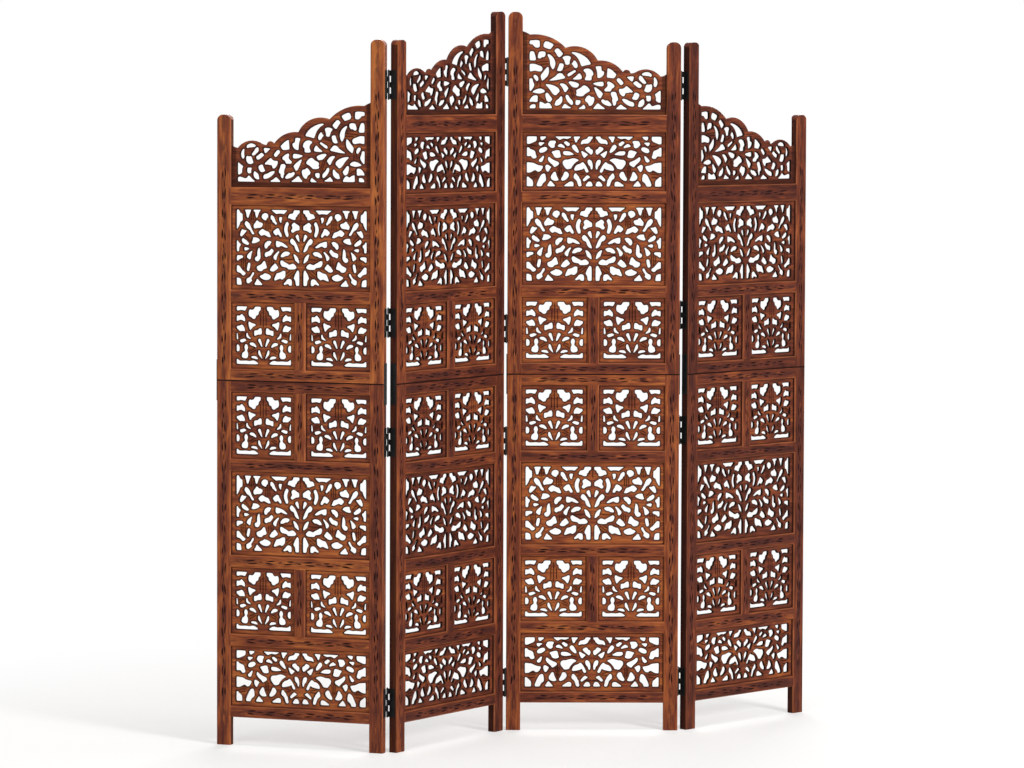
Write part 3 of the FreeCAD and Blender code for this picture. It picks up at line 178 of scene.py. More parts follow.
bpy.ops.mesh.primitive_plane_add(size=FLOOR_SIZE, location=(0, 0, 0))
floor = bpy.context.object
floor.name = "studio_floor"
floor_paint, tree = fresh_material("studio_floor_paint")
place = add(tree, "ShaderNodeTexCoord").outputs["Object"]
distance = add(tree, "ShaderNodeVectorMath", {0: place}, operation="LENGTH").outputs["Value"]
far = add(tree, "ShaderNodeMapRange", {"Value": distance, "From Min": FADE_START, "From Max": FADE_END,
                                       "To Min": FLOOR_GLOW}, interpolation_type="SMOOTHSTEP")
speckle = add(tree, "ShaderNodeTexNoise", {"Vector": place, "Scale": SPECKLE_SCALE, "Detail": 3.0})
tint = add(tree, "ShaderNodeMapRange", {"Value": speckle.outputs["Fac"], "To Min": SPECKLE_DARKEST,
                                        "To Max": 1.0})
tinted = add(tree, "ShaderNodeMixRGB", {"Fac": 1.0, "Color1": linear(FLOOR_HEX),
                                        "Color2": tint.outputs["Result"]}, blend_type="MULTIPLY")
matt = add(tree, "ShaderNodeBsdfDiffuse", {"Color": tinted.outputs[0]})
white = add(tree, "ShaderNodeEmission", {"Color": (1, 1, 1, 1), "Strength": 1.0})
rays = add(tree, "ShaderNodeLightPath")
seen = add(tree, "ShaderNodeMath", {0: rays.outputs["Is Camera Ray"], 1: far.outputs["Result"]},
           operation="MULTIPLY")
blend = add(tree, "ShaderNodeMixShader", {0: seen.outputs[0], 1: matt.outputs[0], 2: white.outputs[0]})
add(tree, "ShaderNodeOutputMaterial", {"Surface": blend.outputs[0]})
floor.data.materials.append(floor_paint)

world = bpy.data.worlds.new("studio_world")
bpy.context.scene.world = world
world.use_nodes = True
tree = world.node_tree
tree.nodes.clear()
rays = add(tree, "ShaderNodeLightPath")
seen = add(tree, "ShaderNodeMath", {0: rays.outputs["Is Camera Ray"], 1: rays.outputs["Is Glossy Ray"]},
           operation="MAXIMUM")
seen = add(tree, "ShaderNodeMath", {0: seen.outputs[0], 1: rays.outputs["Is Transmission Ray"]},
           operation="MAXIMUM")
strength = add(tree, "ShaderNodeMapRange", {"Value": seen.outputs[0], "To Min": AMBIENT_STRENGTH,
                                            "To Max": 1.0})
sky = add(tree, "ShaderNodeBackground", {"Color": (1, 1, 1, 1), "Strength": strength.outputs["Result"]})
add(tree, "ShaderNodeOutputWorld", {"Surface": sky.outputs[0]})
print("floor", FLOOR_SIZE, "m wide, white from", FADE_END, "m")

# %% [markdown]
# The main lamp stands front right, so a stile shades the left part of what it stands proud of, as in the
# picture, and a wide, weaker one stands front left. One more lights the floor from above, and one the back.

# %% Lamps
LAMPS = {
    # name: place in metres, width, height, watts
    "left_softbox": ((-3.2, -4.7, 2.0), 2.4, 2.4, 90.0),
    "right_softbox": ((3.9, -4.2, 2.6), 1.2, 1.4, 262.0),
    "top_softbox": ((0.0, -0.6, 4.6), 3.4, 1.6, 95.0),
    "back_softbox": ((0.6, 4.8, 2.6), 3.4, 2.4, 230.0),
}
AIM = Vector((0.0, 0.0, 0.8))
for name, (place, width, height, watts) in LAMPS.items():
    bpy.ops.object.light_add(type="AREA", location=place)
    lamp = bpy.context.object
    lamp.name = name
    lamp.data.shape = "RECTANGLE"
    lamp.data.size = width
    lamp.data.size_y = height
    lamp.data.energy = watts
    lamp.rotation_euler = (AIM - Vector(place)).to_track_quat("-Z", "Y").to_euler()
bpy.context.scene.view_settings.view_transform = "Standard"
print("lamps", list(LAMPS))

# %% [markdown]
# ## The stained wood
# The screen is sheesham or mango wood with a brown red stain that took unevenly: purple brown where the
# wood is dense, orange where it is open or rubbed. Grain and stain follow each stick, so the pattern
# doesn't read the room's axes. Each mesh carries an attribute, grain, with the place along and across
# its own stick, and a few others: tone, one value for each stick on top of its panel's painted shade;
# dark, for stain that sits in cuts and for painted shade along holes, in recesses and on stiles' left
# sides; and one for edges that hands and cloths have worn lighter, with a painted highlight added there.

# %% Stained wood material
WOOD_TONES = (
    # share of the way from dark to light, colour
    (0.12, "#371711"),
    (0.34, "#522619"),
    (0.50, "#683220"),
    (0.66, "#864625"),
    (0.88, "#A86231"),
)
FIGURES = {
    # length along and across the grain in mm, detail, roughness, distortion
    "patches": (85.0, 14.0, 2.0, 0.55, 0.6),
    "streaks": (60.0, 2.4, 3.0, 0.6, 0.3),
    "pores": (9.0, 0.7, 2.0, 0.5, 0.0),
    "blotches": (26.0, 8.0, 2.0, 0.6, 0.4),
}
PATCH_SHARE, TONE_CONTRAST = 0.55, 1.7
# Chamfer colour: wear rubbed lighter, together with a painted highlight where the chamfers catch the light.
RUB_AND_HIGHLIGHT_HEX, RUB_AND_HIGHLIGHT_GAIN, RUB_AND_HIGHLIGHT_START = "#A8633C", 1.5, -0.4
SOAK_GAIN, SOAK_START = 0.5, 0.75
SMUDGE_HEX, SMUDGE_HALF_MM = "#32191A", 10.0
SMUDGE_GAIN, SMUDGE_START, SMUDGE_AMOUNT = 4.0, -1.5, 0.75
FLECK_START, FLECK_FULL, FLECK_AMOUNT = 0.62, 0.74, 0.22
LACQUER_ROUGHNESS, STAIN_ROUGHNESS = (0.45, 0.62), 0.35
LACQUER_IOR, LACQUER_SPECULAR = 1.5, 0.1


def stained_wood(name, stain_and_shade_hex, bump_mm):
    """Sheesham, stained brown red, under a thin satin lacquer, with painted shade and a painted highlight
    from the mesh's attributes.
    """
    material, tree = fresh_material(name)
    grain = add(tree, "ShaderNodeAttribute", attribute_name="grain").outputs["Vector"]
    tone, dark, rub, band = (add(tree, "ShaderNodeAttribute", attribute_name=a).outputs["Fac"]
                             for a in ("tone", "dark", "rub", "band"))

    def figure(name):
        long, across, detail, roughness, distortion = FIGURES[name]
        scaled = add(tree, "ShaderNodeMapping", {"Vector": grain,
                                                 "Scale": (1 / long, 1 / across, 1 / across)})
        return add(tree, "ShaderNodeTexNoise", {"Vector": scaled.outputs[0], "Scale": 1.0,
                                                "Detail": detail, "Roughness": roughness,
                                                "Distortion": distortion}).outputs["Fac"]

    def maths(operation, a, b, c=0.0, clamp=False):
        return add(tree, "ShaderNodeMath", {0: a, 1: b, 2: c}, operation=operation,
                   use_clamp=clamp).outputs[0]

    def over(base, top_hex, amount):
        return add(tree, "ShaderNodeMixRGB", {"Fac": amount, "Color1": base,
                                              "Color2": linear(top_hex)}).outputs[0]

    patches, streaks, pores, blotches = (figure(name) for name in FIGURES)
    mixed = maths("MULTIPLY_ADD", patches, PATCH_SHARE, maths("MULTIPLY", streaks, 1 - PATCH_SHARE))
    spread = maths("MULTIPLY_ADD", maths("SUBTRACT", mixed, 0.5), TONE_CONTRAST, 0.5)
    ramp = add(tree, "ShaderNodeValToRGB", {"Fac": maths("ADD", spread, tone, clamp=True)})
    for index, (share, colour_hex) in enumerate(WOOD_TONES):
        stop = ramp.color_ramp.elements[index] if index < 2 else ramp.color_ramp.elements.new(share)
        stop.position = share
        stop.color = linear(colour_hex)

    # Chamfers: rubbed wear together with a painted highlight, broken up along the streaks.
    wear_and_highlight = maths("MULTIPLY_ADD", streaks, RUB_AND_HIGHLIGHT_GAIN, RUB_AND_HIGHLIGHT_START, clamp=True)
    colour = over(ramp.outputs["Color"], RUB_AND_HIGHLIGHT_HEX, maths("MULTIPLY", rub, wear_and_highlight, clamp=True))
    thirst = maths("MULTIPLY_ADD", patches, SOAK_GAIN, SOAK_START)
    # The dark attribute lays stain in cuts, and painted shade along holes, in recesses and on stiles' left
    # sides.
    colour = over(colour, stain_and_shade_hex, maths("MULTIPLY", dark, thirst, clamp=True))
    off_middle = maths("DIVIDE", maths("ABSOLUTE", band, 0.0), SMUDGE_HALF_MM)
    smudge = maths("MULTIPLY", maths("SUBTRACT", 1.0, off_middle, clamp=True),
                   maths("MULTIPLY_ADD", blotches, SMUDGE_GAIN, SMUDGE_START, clamp=True))
    colour = over(colour, SMUDGE_HEX, maths("MULTIPLY", smudge, SMUDGE_AMOUNT))
    flecks = add(tree, "ShaderNodeMapRange", {"Value": pores, "From Min": FLECK_START,
                                              "From Max": FLECK_FULL, "To Min": 0.0,
                                              "To Max": FLECK_AMOUNT}).outputs["Result"]
    colour = over(colour, stain_and_shade_hex, flecks)
    satin = add(tree, "ShaderNodeMapRange", {"Value": streaks, "From Min": 0.3, "From Max": 0.7,
                                             "To Min": LACQUER_ROUGHNESS[0],
                                             "To Max": LACQUER_ROUGHNESS[1]}).outputs["Result"]
    rough = maths("MULTIPLY_ADD", dark, STAIN_ROUGHNESS, satin, clamp=True)
    relief = maths("MULTIPLY_ADD", pores, -0.5, streaks)
    bump = add(tree, "ShaderNodeBump", {"Height": relief, "Strength": 0.5, "Distance": bump_mm * MM})
    shader = add(tree, "ShaderNodeBsdfPrincipled", {"Base Color": colour, "Roughness": rough,
                                                    "IOR": LACQUER_IOR,
                                                    "Specular IOR Level": LACQUER_SPECULAR,
                                                    "Normal": bump.outputs[0]})
    add(tree, "ShaderNodeOutputMaterial", {"Surface": shader.outputs[0]})
    return material


# The second colour is the dark stain, which the dark attribute also uses to paint shade.
frame_wood = stained_wood("stained_sheesham_frame", "#1E0D0A", 0.35)
carved_wood = stained_wood("stained_sheesham_carving", "#180805", 0.25)
print("wood materials", frame_wood.name, carved_wood.name)

# %% [markdown]
# ## The black steel
# Hinges, plates and screws are stamped mild steel under black enamel. Enamel is a dielectric, so the
# metal shows only where the film has worn. Fine orange peel breaks up its shine.

# %% Black enamelled steel
ENAMEL_HEX = ("#080808", "#131414")
ENAMEL_ROUGHNESS = (0.28, 0.52)
ENAMEL_IOR, ENAMEL_SPECULAR = 1.5, 0.3
ORANGE_PEEL_MM, ORANGE_PEEL_DEPTH_MM = 3.0, 0.1
CLOUD_SCALE = 60.0

black_steel, tree = fresh_material("black_enamelled_steel")
place = add(tree, "ShaderNodeTexCoord").outputs["Object"]
peel = add(tree, "ShaderNodeTexNoise", {"Vector": place, "Scale": 1 / (ORANGE_PEEL_MM * MM), "Detail": 2.0})
cloud = add(tree, "ShaderNodeTexNoise", {"Vector": place, "Scale": CLOUD_SCALE, "Detail": 3.0})
ramp = add(tree, "ShaderNodeValToRGB", {"Fac": cloud.outputs["Fac"]})
for stop, colour_hex in zip(ramp.color_ramp.elements, ENAMEL_HEX):
    stop.color = linear(colour_hex)
rough = add(tree, "ShaderNodeMapRange", {"Value": cloud.outputs["Fac"], "To Min": ENAMEL_ROUGHNESS[0],
                                         "To Max": ENAMEL_ROUGHNESS[1]})
bump = add(tree, "ShaderNodeBump", {"Height": peel.outputs["Fac"], "Strength": 0.3,
                                    "Distance": ORANGE_PEEL_DEPTH_MM * MM})
shader = add(tree, "ShaderNodeBsdfPrincipled", {"Base Color": ramp.outputs["Color"], "IOR": ENAMEL_IOR,
                                                "Specular IOR Level": ENAMEL_SPECULAR,
                                                "Roughness": rough.outputs["Result"],
                                                "Normal": bump.outputs[0]})
add(tree, "ShaderNodeOutputMaterial", {"Surface": shader.outputs[0]})
steel_nodes = [node for name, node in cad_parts.items()
               if name.startswith("fold_") or name.endswith(("_screws", "_joining_plates"))]
for node in steel_nodes:
    node.data.materials.clear()
    node.data.materials.append(black_steel)
print("enamelled", len(steel_nodes), "nodes")

# %% [markdown]
# ## Helpers for the wooden pieces
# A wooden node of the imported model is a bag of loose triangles. Its copy is merged, laid on the bench,
# worked, given its attributes and sent back to its place in the panel.

# %% Copy, attributes and finish
MERGE_MM = 0.002
FLAT_DEGREES = 0.5
SMOOTH_DEGREES = 32.0
TOUCH_MM = 1.0


def bench_copy(node_name, panel, tidy):
    """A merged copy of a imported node, on the bench. When tidy, each flat face is one face."""
    piece = new_piece(node_name + "_carved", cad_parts[node_name].data.copy())
    piece.data.transform(BENCH[panel].inverted())
    pick(piece)
    bpy.ops.object.mode_set(mode="EDIT")
    bpy.ops.mesh.select_all(action="SELECT")
    bpy.ops.mesh.remove_doubles(threshold=MERGE_MM * MM)
    if tidy:
        bpy.ops.mesh.dissolve_limited(angle_limit=math.radians(FLAT_DEGREES))
    bpy.ops.object.mode_set(mode="OBJECT")
    bpy.ops.mesh.customdata_custom_splitnormals_clear()
    return piece


def write_attributes(piece, domain, **columns):
    """Store one number or one vector for each point or face, under each name."""
    for name, values in columns.items():
        values = np.asarray(values, np.float32)
        kind, field = ("FLOAT_VECTOR", "vector") if values.ndim == 2 else ("FLOAT", "value")
        piece.data.attributes.new(name, kind, domain).data.foreach_set(field, values.ravel())


def finish_piece(piece, panel, material, node_name):
    """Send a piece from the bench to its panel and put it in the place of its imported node."""
    piece.data.transform(BENCH[panel])
    piece.data.materials.clear()
    piece.data.materials.append(material)
    pick(piece)
    bpy.ops.object.shade_smooth_by_angle(angle=math.radians(SMOOTH_DEGREES))
    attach(piece, panel)
    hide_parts(node_name)


def triangles_of(piece):
    """The corners of each triangle of a triangle mesh."""
    corners = np.empty(len(piece.data.polygons) * 3, np.int64)
    piece.data.polygons.foreach_get("vertices", corners)
    return corners.reshape(-1, 3)


def tile_spans(points, faces, axis):
    """Ranges along one axis that the triangles cover without a break, in order."""
    values = points[faces][:, :, axis]
    low, high = values.min(1), values.max(1)
    order = np.argsort(low)
    joined = []
    for a, b in zip(low[order], high[order]):
        if joined and a <= joined[-1][1] + TOUCH_MM:
            joined[-1][1] = max(joined[-1][1], b)
        else:
            joined.append([a, b])
    return [tuple(pair) for pair in joined]


def board_boxes(points, faces):
    """The box of each board of a node, by rows from the bottom and then from the left."""
    middle_z = points[faces][:, :, 2].mean(1)
    boxes = []
    for z0, z1 in tile_spans(points, faces, 2):
        row = faces[(middle_z > z0) & (middle_z < z1)]
        boxes += [(x0, x1, z0, z1) for x0, x1 in tile_spans(points, row, 0)]
    return boxes


# %% [markdown]
# ## The pierced boards
# On the real screen each board is sawn out with a fretsaw and then rounded over with a gouge, so a stem
# has a soft round top and the stain sits along its edges. Blender's bevel can't follow such a crowded
# outline, and its fill leaves long thin triangles that can't be rounded. So the outline of each design is
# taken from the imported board, and the wood between the holes is filled again with an even net of points.
# Each point is then lowered by how near it lies to a cut edge. Each design is made once and copied.

# %% The designs' cut lines
# Chisel lines in the buds and leaves, in thousandths of the pierced width. y is from the bottom of the
# pierced field. x is from the middle, and each line is mirrored. A crest's x is from the left, and its
# lines aren't mirrored.
TREE_LINES = (
    ((64, 192), (110, 188), (160, 192)), ((60, 100), (110, 62)), ((56, 82), (84, 58)),
    ((84, 106), (116, 82)), ((228, 188), (229, 150)), ((244, 186), (248, 138)), ((213, 178), (214, 160)),
    ((236, 408), (238, 462)), ((252, 404), (254, 474)), ((270, 406), (268, 464)), ((380, 470), (382, 530)),
    ((366, 478), (368, 506)), ((394, 478), (396, 506)), ((398, 325), (432, 362)), ((414, 316), (444, 346)),
    ((428, 190), (429, 130)), ((444, 200), (446, 116)), ((461, 190), (459, 136)), ((24, 500), (22, 545)),
    ((0, 470), (0, 545)),
)
WIDE_LINES = (
    ((0, 330), (0, 380)), ((120, 228), (170, 232), (215, 226)), ((245, 140), (247, 80)),
    ((258, 150), (257, 66)), ((270, 140), (266, 84)), ((424, 296), (470, 306)), ((424, 92), (470, 88)),
    ((430, 72), (470, 66)), ((430, 106), (470, 104)), ((80, 100), (130, 112)), ((76, 90), (104, 86)),
    ((10, 50), (60, 44)), ((160, 330), (230, 350)),
)
SQUARE_LINES = (
    ((0, 640), (0, 960)), ((52, 680), (50, 860)), ((150, 240), (240, 190)), ((170, 270), (250, 230)),
    ((360, 520), (430, 470)), ((380, 540), (440, 500)), ((110, 592), (190, 575)),
)
CREST_LINES = (
    ((95, 360), (170, 368)), ((130, 348), (175, 350)), ((105, 230), (98, 196)), ((120, 226), (122, 190)),
    ((280, 312), (335, 335)), ((112, 120), (150, 95)), ((325, 190), (350, 112)), ((340, 180), (360, 120)),
)
print("chisel lines", sum(len(lines) for lines in (TREE_LINES, WIDE_LINES, SQUARE_LINES, CREST_LINES)))

# %% [markdown]
# The outline is walked edge by edge. A sharp turn is kept as a corner, and the stretch between two
# corners is divided evenly, so arcs stay smooth and teeth stay crisp.

# %% Outlines from a packed board
FACE_TOLERANCE_MM = 0.02
CORNER_TURN_DEGREES = 32


def sides_of(triangles):
    """The three directed sides of every triangle."""
    return np.concatenate([triangles[:, [0, 1]], triangles[:, [1, 2]], triangles[:, [2, 0]]])


def front_loops(points, faces, box):
    """Closed outlines of one board's front face, in the board's own corner frame."""
    x0, x1, z0, z1 = box
    front = points[:, 1].min()
    middle = points[faces].mean(1)
    flat = (np.abs(points[faces][:, :, 1] - front) < FACE_TOLERANCE_MM).all(1)
    inside = (middle[:, 0] > x0) & (middle[:, 0] < x1) & (middle[:, 2] > z0) & (middle[:, 2] < z1)
    pairs = np.sort(sides_of(faces[flat & inside]), axis=1)
    edges, counts = np.unique(pairs, axis=0, return_counts=True)
    ways = {}
    for a, b in edges[counts == 1].tolist():
        ways.setdefault(a, []).append(b)
        ways.setdefault(b, []).append(a)
    loops = []
    while ways:
        start = here = next(iter(ways))
        walk = []
        while here in ways and ways[here]:
            walk.append(here)
            there = ways[here].pop()
            ways[there].remove(here)
            if not ways[here]:
                del ways[here]
            here = there
        ways = {key: value for key, value in ways.items() if value}
        loop = points[walk][:, [0, 2]] - (x0, z0)
        x, z = loop.T
        area = 0.5 * float(np.sum(x * np.roll(z, -1) - np.roll(x, -1) * z))
        loops.append((area, loop))
    loops.sort(key=lambda pair: -abs(pair[0]))
    outer = loops[0][1] if loops[0][0] > 0 else loops[0][1][::-1]
    return [outer] + [loop if area < 0 else loop[::-1] for area, loop in loops[1:]]


def even_line(line, step):
    """An open line with even steps."""
    along = np.concatenate([[0.0], np.cumsum(np.linalg.norm(np.diff(line, axis=0), axis=1))])
    even = np.linspace(0, along[-1], max(1, round(along[-1] / step)) + 1)
    return np.column_stack([np.interp(even, along, line[:, i]) for i in (0, 1)])


def even_loop(loop, step):
    """The same outline with even steps between its corners."""
    ahead = np.roll(loop, -1, axis=0) - loop
    behind = loop - np.roll(loop, 1, axis=0)
    turn = np.abs(np.arctan2(behind[:, 0] * ahead[:, 1] - behind[:, 1] * ahead[:, 0],
                             (behind * ahead).sum(1)))
    corners = np.flatnonzero(turn > math.radians(CORNER_TURN_DEGREES))
    if len(corners) == 0:
        corners = np.array([0])
    loop = np.roll(loop, -corners[0], axis=0)
    stops = list(corners - corners[0]) + [len(loop)]
    ring = np.vstack([loop, loop[:1]])
    return np.vstack([even_line(ring[a:b + 1], step)[:-1] for a, b in zip(stops[:-1], stops[1:])])


# %% [markdown]
# Depth and stain follow how far a point lies from a sawn edge or a chisel line. A search tree over close
# samples of those lines gives that distance.

# %% Distances, and what is wood
SAMPLE_MM = 0.5
POINTS_AT_ONCE = 1500


def dense(line, closed):
    """Close samples along a line, to measure distances to it."""
    ends = np.vstack([line, line[:1]]) if closed else line
    made = []
    for a, b in zip(ends[:-1], ends[1:]):
        count = max(1, math.ceil(np.linalg.norm(b - a) / SAMPLE_MM))
        made.append(a + (b - a) * (np.arange(count) / count)[:, None])
    if not closed:
        made.append(ends[-1:])
    return np.vstack(made)


def nearest(samples, points):
    """Distance from each point to the closest sample."""
    tree = kdtree.KDTree(len(samples))
    for index, (x, z) in enumerate(samples.tolist()):
        tree.insert((x, z, 0.0), index)
    tree.balance()
    return np.array([tree.find((x, z, 0.0))[2] for x, z in points.tolist()])


def in_wood(points, loops):
    """True where a point lies in the wood: an odd number of outlines to its right."""
    a = np.vstack(loops)
    b = np.vstack([np.roll(loop, -1, axis=0) for loop in loops])
    odd = np.zeros(len(points), bool)
    for start in range(0, len(points), POINTS_AT_ONCE):
        some = slice(start, start + POINTS_AT_ONCE)
        x, z = (points[some, i][:, None] for i in (0, 1))
        crosses = (a[:, 1] > z) != (b[:, 1] > z)
        with np.errstate(divide="ignore", invalid="ignore"):
            at = a[:, 0] + (z - a[:, 1]) * (b[:, 0] - a[:, 0]) / (b[:, 1] - a[:, 1])
        odd[some] = (crosses & (at > x)).sum(1) % 2 == 1
    return odd


# %% [markdown]
# The wood is filled with an even net of points. Two rings of points follow each outline, and a chisel line
# gets a row on either side, so the round and the cut have points to bend at.

# %% Net of one design
EDGE_STEP_MM, CHISEL_STEP_MM, GRID_STEP_MM = 2.2, 1.5, 2.7
RING_STEPS_MM, RING_SHARE = (0.7, 1.8), 0.86
LINE_HALF_MM, LINE_SHARE = 1.25, 0.85
ROW_TO_RIM_MM, CHISEL_TO_RIM_MM, GRID_GAP_MM = 0.55, 1.1, 0.6
JOIN_MM = 1e-5


def beside(line, ahead, distance):
    """The line moved to the left of its direction."""
    side = np.column_stack([-ahead[:, 1], ahead[:, 0]])
    return line + side / np.maximum(np.linalg.norm(side, axis=1), 1e-9)[:, None] * distance


def even_grid(width, height):
    """Points of an even net of triangles over the whole board."""
    rise = GRID_STEP_MM * math.sqrt(3) / 2
    rows = []
    for row, z in enumerate(np.arange(rise, height, rise)):
        x = np.arange((GRID_STEP_MM / 2) * (1 + row % 2), width, GRID_STEP_MM)
        rows.append(np.column_stack([x, np.full(len(x), z)]))
    return np.vstack(rows)


def fill_with_net(size, loops, rims, ridges, ridge_samples):
    """Points and triangles of the wood, and the triangle sides that lie on an outline."""
    points, edges = [], []
    for line, steps in [(loop, len(loop)) for loop in loops] + [(line, len(line) - 1) for line in ridges]:
        base = len(points)
        points += line.tolist()
        edges += [(base + i, base + (i + 1) % len(line)) for i in range(steps)]
    free = []
    for loop in loops:
        for step in RING_STEPS_MM:
            ring = beside(loop, np.roll(loop, -1, axis=0) - np.roll(loop, 1, axis=0), step)
            free.append(ring[nearest(rims, ring) > RING_SHARE * step])
    for line in ridges:
        free += [beside(line, np.gradient(line, axis=0), way) for way in (LINE_HALF_MM, -LINE_HALF_MM)]
    free = np.vstack(free)
    free = free[nearest(ridge_samples, free) > LINE_SHARE * LINE_HALF_MM]
    free = free[nearest(rims, free) > ROW_TO_RIM_MM]
    grid = even_grid(*size)
    grid = grid[nearest(rims, grid) > RING_STEPS_MM[1] + GRID_GAP_MM]
    grid = grid[nearest(ridge_samples, grid) > LINE_HALF_MM + GRID_GAP_MM]
    free = np.vstack([free, grid])
    everything = np.vstack([np.array(points), free[in_wood(free, loops)]])
    flat, _, triangles, _, _, _ = geometry.delaunay_2d_cdt([Vector(p) for p in everything.tolist()],
                                                           edges, [], 0, JOIN_MM)
    flat, triangles = np.array([tuple(p) for p in flat]), np.array(triangles)
    triangles = triangles[in_wood(flat[triangles].mean(1), loops)]
    sides = sides_of(triangles)
    _, first, counts = np.unique(np.sort(sides, axis=1), axis=0, return_index=True, return_counts=True)
    return flat, triangles, sides[first[counts == 1]]


# %% [markdown]
# A design's relief has three parts: a tight round along each sawn edge, a slow swell that lifts buds
# above stems, and V cuts from a parting chisel. Stain gathers in the cuts. Along the holes and on their
# walls, along the groove that holds the board, and over the plain border of a crest, the darkening is
# stain together with painted shade, where the holes, the frame and the stile shade the board.

# %% Relief of one design
TONGUE_MM, BORDER_MM = 5.0, 10.5
RIM_START_MM = TONGUE_MM + 0.5
ROUND_MM, ROUND_DEPTH_MM = 2.7, 1.7
SWELL_MM, SWELL_DEPTH_MM = 8.0, 0.9
LINE_DEPTH_MM = 1.3
# Darkening along holes, hole walls, the groove and a crest's border is stain together with painted shade; in
# chisel cuts it is stain.
HOLE_STAIN_AND_SHADE_MM, GROOVE_STAIN_AND_SHADE_MM = 3.0, 2.2
STAIN_AND_SHADE_EDGE, CUT_STAIN_EDGE = 1.2, 1.25
GROOVE_STAIN_AND_SHADE, CREST_BORDER_STAIN_AND_SHADE = 0.9, 0.62


def carve_design(loops, lines, open_top, share_mm, origin):
    """Points, triangles, wall edges, depth and darkening of one design, where it is stained and where shade
    is painted.
    """
    width, height = loops[0].max(0)
    loops = [even_loop(loop, EDGE_STEP_MM) for loop in loops]
    rim, *holes = [dense(loop, True) for loop in loops]
    rims = np.vstack([rim, *holes])
    top = rim[(rim[:, 0] > RIM_START_MM) & (rim[:, 0] < width - RIM_START_MM) & (rim[:, 1] > RIM_START_MM)]
    sawn = np.vstack(holes + [top] if open_top else holes)
    ridges = []
    for line in lines:
        place = np.array(line, float) * share_mm
        for side in ((1,) if open_top or not place[:, 0].any() else (1, -1)):
            ridge = even_line(place * (side, 1) + origin, CHISEL_STEP_MM)
            ridges.append(ridge[nearest(rims, ridge) > CHISEL_TO_RIM_MM])
    ridges = [ridge for ridge in ridges if len(ridge) > 1]
    ridge_samples = np.vstack([dense(ridge, False) for ridge in ridges])
    flat, triangles, walls = fill_with_net((width, height), loops, rims, ridges, ridge_samples)

    away, from_line = nearest(sawn, flat), nearest(ridge_samples, flat)
    close = np.clip(1 - away / ROUND_MM, 0, 1)
    swell = np.clip(away / SWELL_MM, 0, 1)
    depth = ROUND_DEPTH_MM * (1 - np.sqrt(1 - close ** 2))
    depth += SWELL_DEPTH_MM * (1 - swell * swell * (3 - 2 * swell))
    depth += LINE_DEPTH_MM * np.clip(1 - from_line / LINE_HALF_MM, 0, 1)

    inset = np.min([flat[:, 0], width - flat[:, 0], flat[:, 1]], axis=0)
    if not open_top:
        inset = np.minimum(inset, height - flat[:, 1])
    # Along the holes and on their walls the darkening is stain together with painted shade; in the chisel
    # cuts it is stain.
    stain_and_shade = np.max([
        np.clip(STAIN_AND_SHADE_EDGE - nearest(np.vstack(holes), flat) / HOLE_STAIN_AND_SHADE_MM, 0, 1),
        np.clip(CUT_STAIN_EDGE - from_line / LINE_HALF_MM, 0, 1),
        # Along the groove: stain together with painted shade where the frame's edge shades the recessed
        # board.
        GROOVE_STAIN_AND_SHADE * np.clip(STAIN_AND_SHADE_EDGE - (inset - TONGUE_MM) / GROOVE_STAIN_AND_SHADE_MM, 0, 1)], axis=0)
    # A crest's plain border is darkened all over: stain together with painted shade where the stile shades
    # the recessed board.
    if open_top:
        border = np.clip((TONGUE_MM + BORDER_MM - inset) / GROOVE_STAIN_AND_SHADE_MM + 0.5, 0, 1)
        stain_and_shade = np.maximum(stain_and_shade, CREST_BORDER_STAIN_AND_SHADE * border)
    print("design", len(flat), "points", len(triangles), "triangles", len(walls), "edge steps",
          len(holes), "holes", len(ridges), "chisel lines")
    return {"flat": flat, "triangles": triangles, "walls": walls, "depth": depth, "stain_and_shade": stain_and_shade,
            "size": (width, height)}


# %% [markdown]
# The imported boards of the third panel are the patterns, because that panel stands square to the room.

# %% Make the four designs
PATTERN_PANEL = "panel_3"
KINDS = {
    # node ending: chisel lines and whether the top edge is open
    "tree_boards": (TREE_LINES, False),
    "wide_boards": (WIDE_LINES, False),
    "square_boards": (SQUARE_LINES, False),
    "crest_board": (CREST_LINES, True),
}
DESIGNS = {}
for kind, (lines, open_top) in KINDS.items():
    pattern = bench_copy(f"{PATTERN_PANEL}_{kind}", PATTERN_PANEL, tidy=False)
    points, faces = points_of(pattern), triangles_of(pattern)
    box = board_boxes(points, faces)[0]
    across, plain = box[1] - box[0], TONGUE_MM if open_top else TONGUE_MM + BORDER_MM
    share_mm, origin = (across - 2 * plain) / 1000, (plain if open_top else across / 2, plain)
    DESIGNS[kind] = carve_design(front_loops(points, faces, box), lines, open_top, share_mm, origin)
    bpy.data.objects.remove(pattern)

# %% [markdown]
# Each node's boards are now built from their design. A crest of the left pair rises to the other side,
# so its design is turned over, and its triangles with it. Every board is cut from its own piece of wood:
# it gets its own shift in the grain and its own tone, on top of its panel's painted shade, which darkens
# the panels turned furthest, 2 and 4, and lightens panel 1 a little.

# %% Boards of every panel
rng = np.random.default_rng(7)
# Painted light and shade on each panel's tone: panels 2 and 4, turned furthest, are painted darker, and panel
# 1 a little lighter.
PANEL_PAINTED_SHADE = {"panel_1": 0.03, "panel_2": -0.12, "panel_3": 0.0, "panel_4": -0.13}
BOARD_TONES = (0.0, 0.14)
CREST_TONE = -0.07
GRAIN_SHIFT_MM = 900
NO_SMUDGE_MM = 99.0


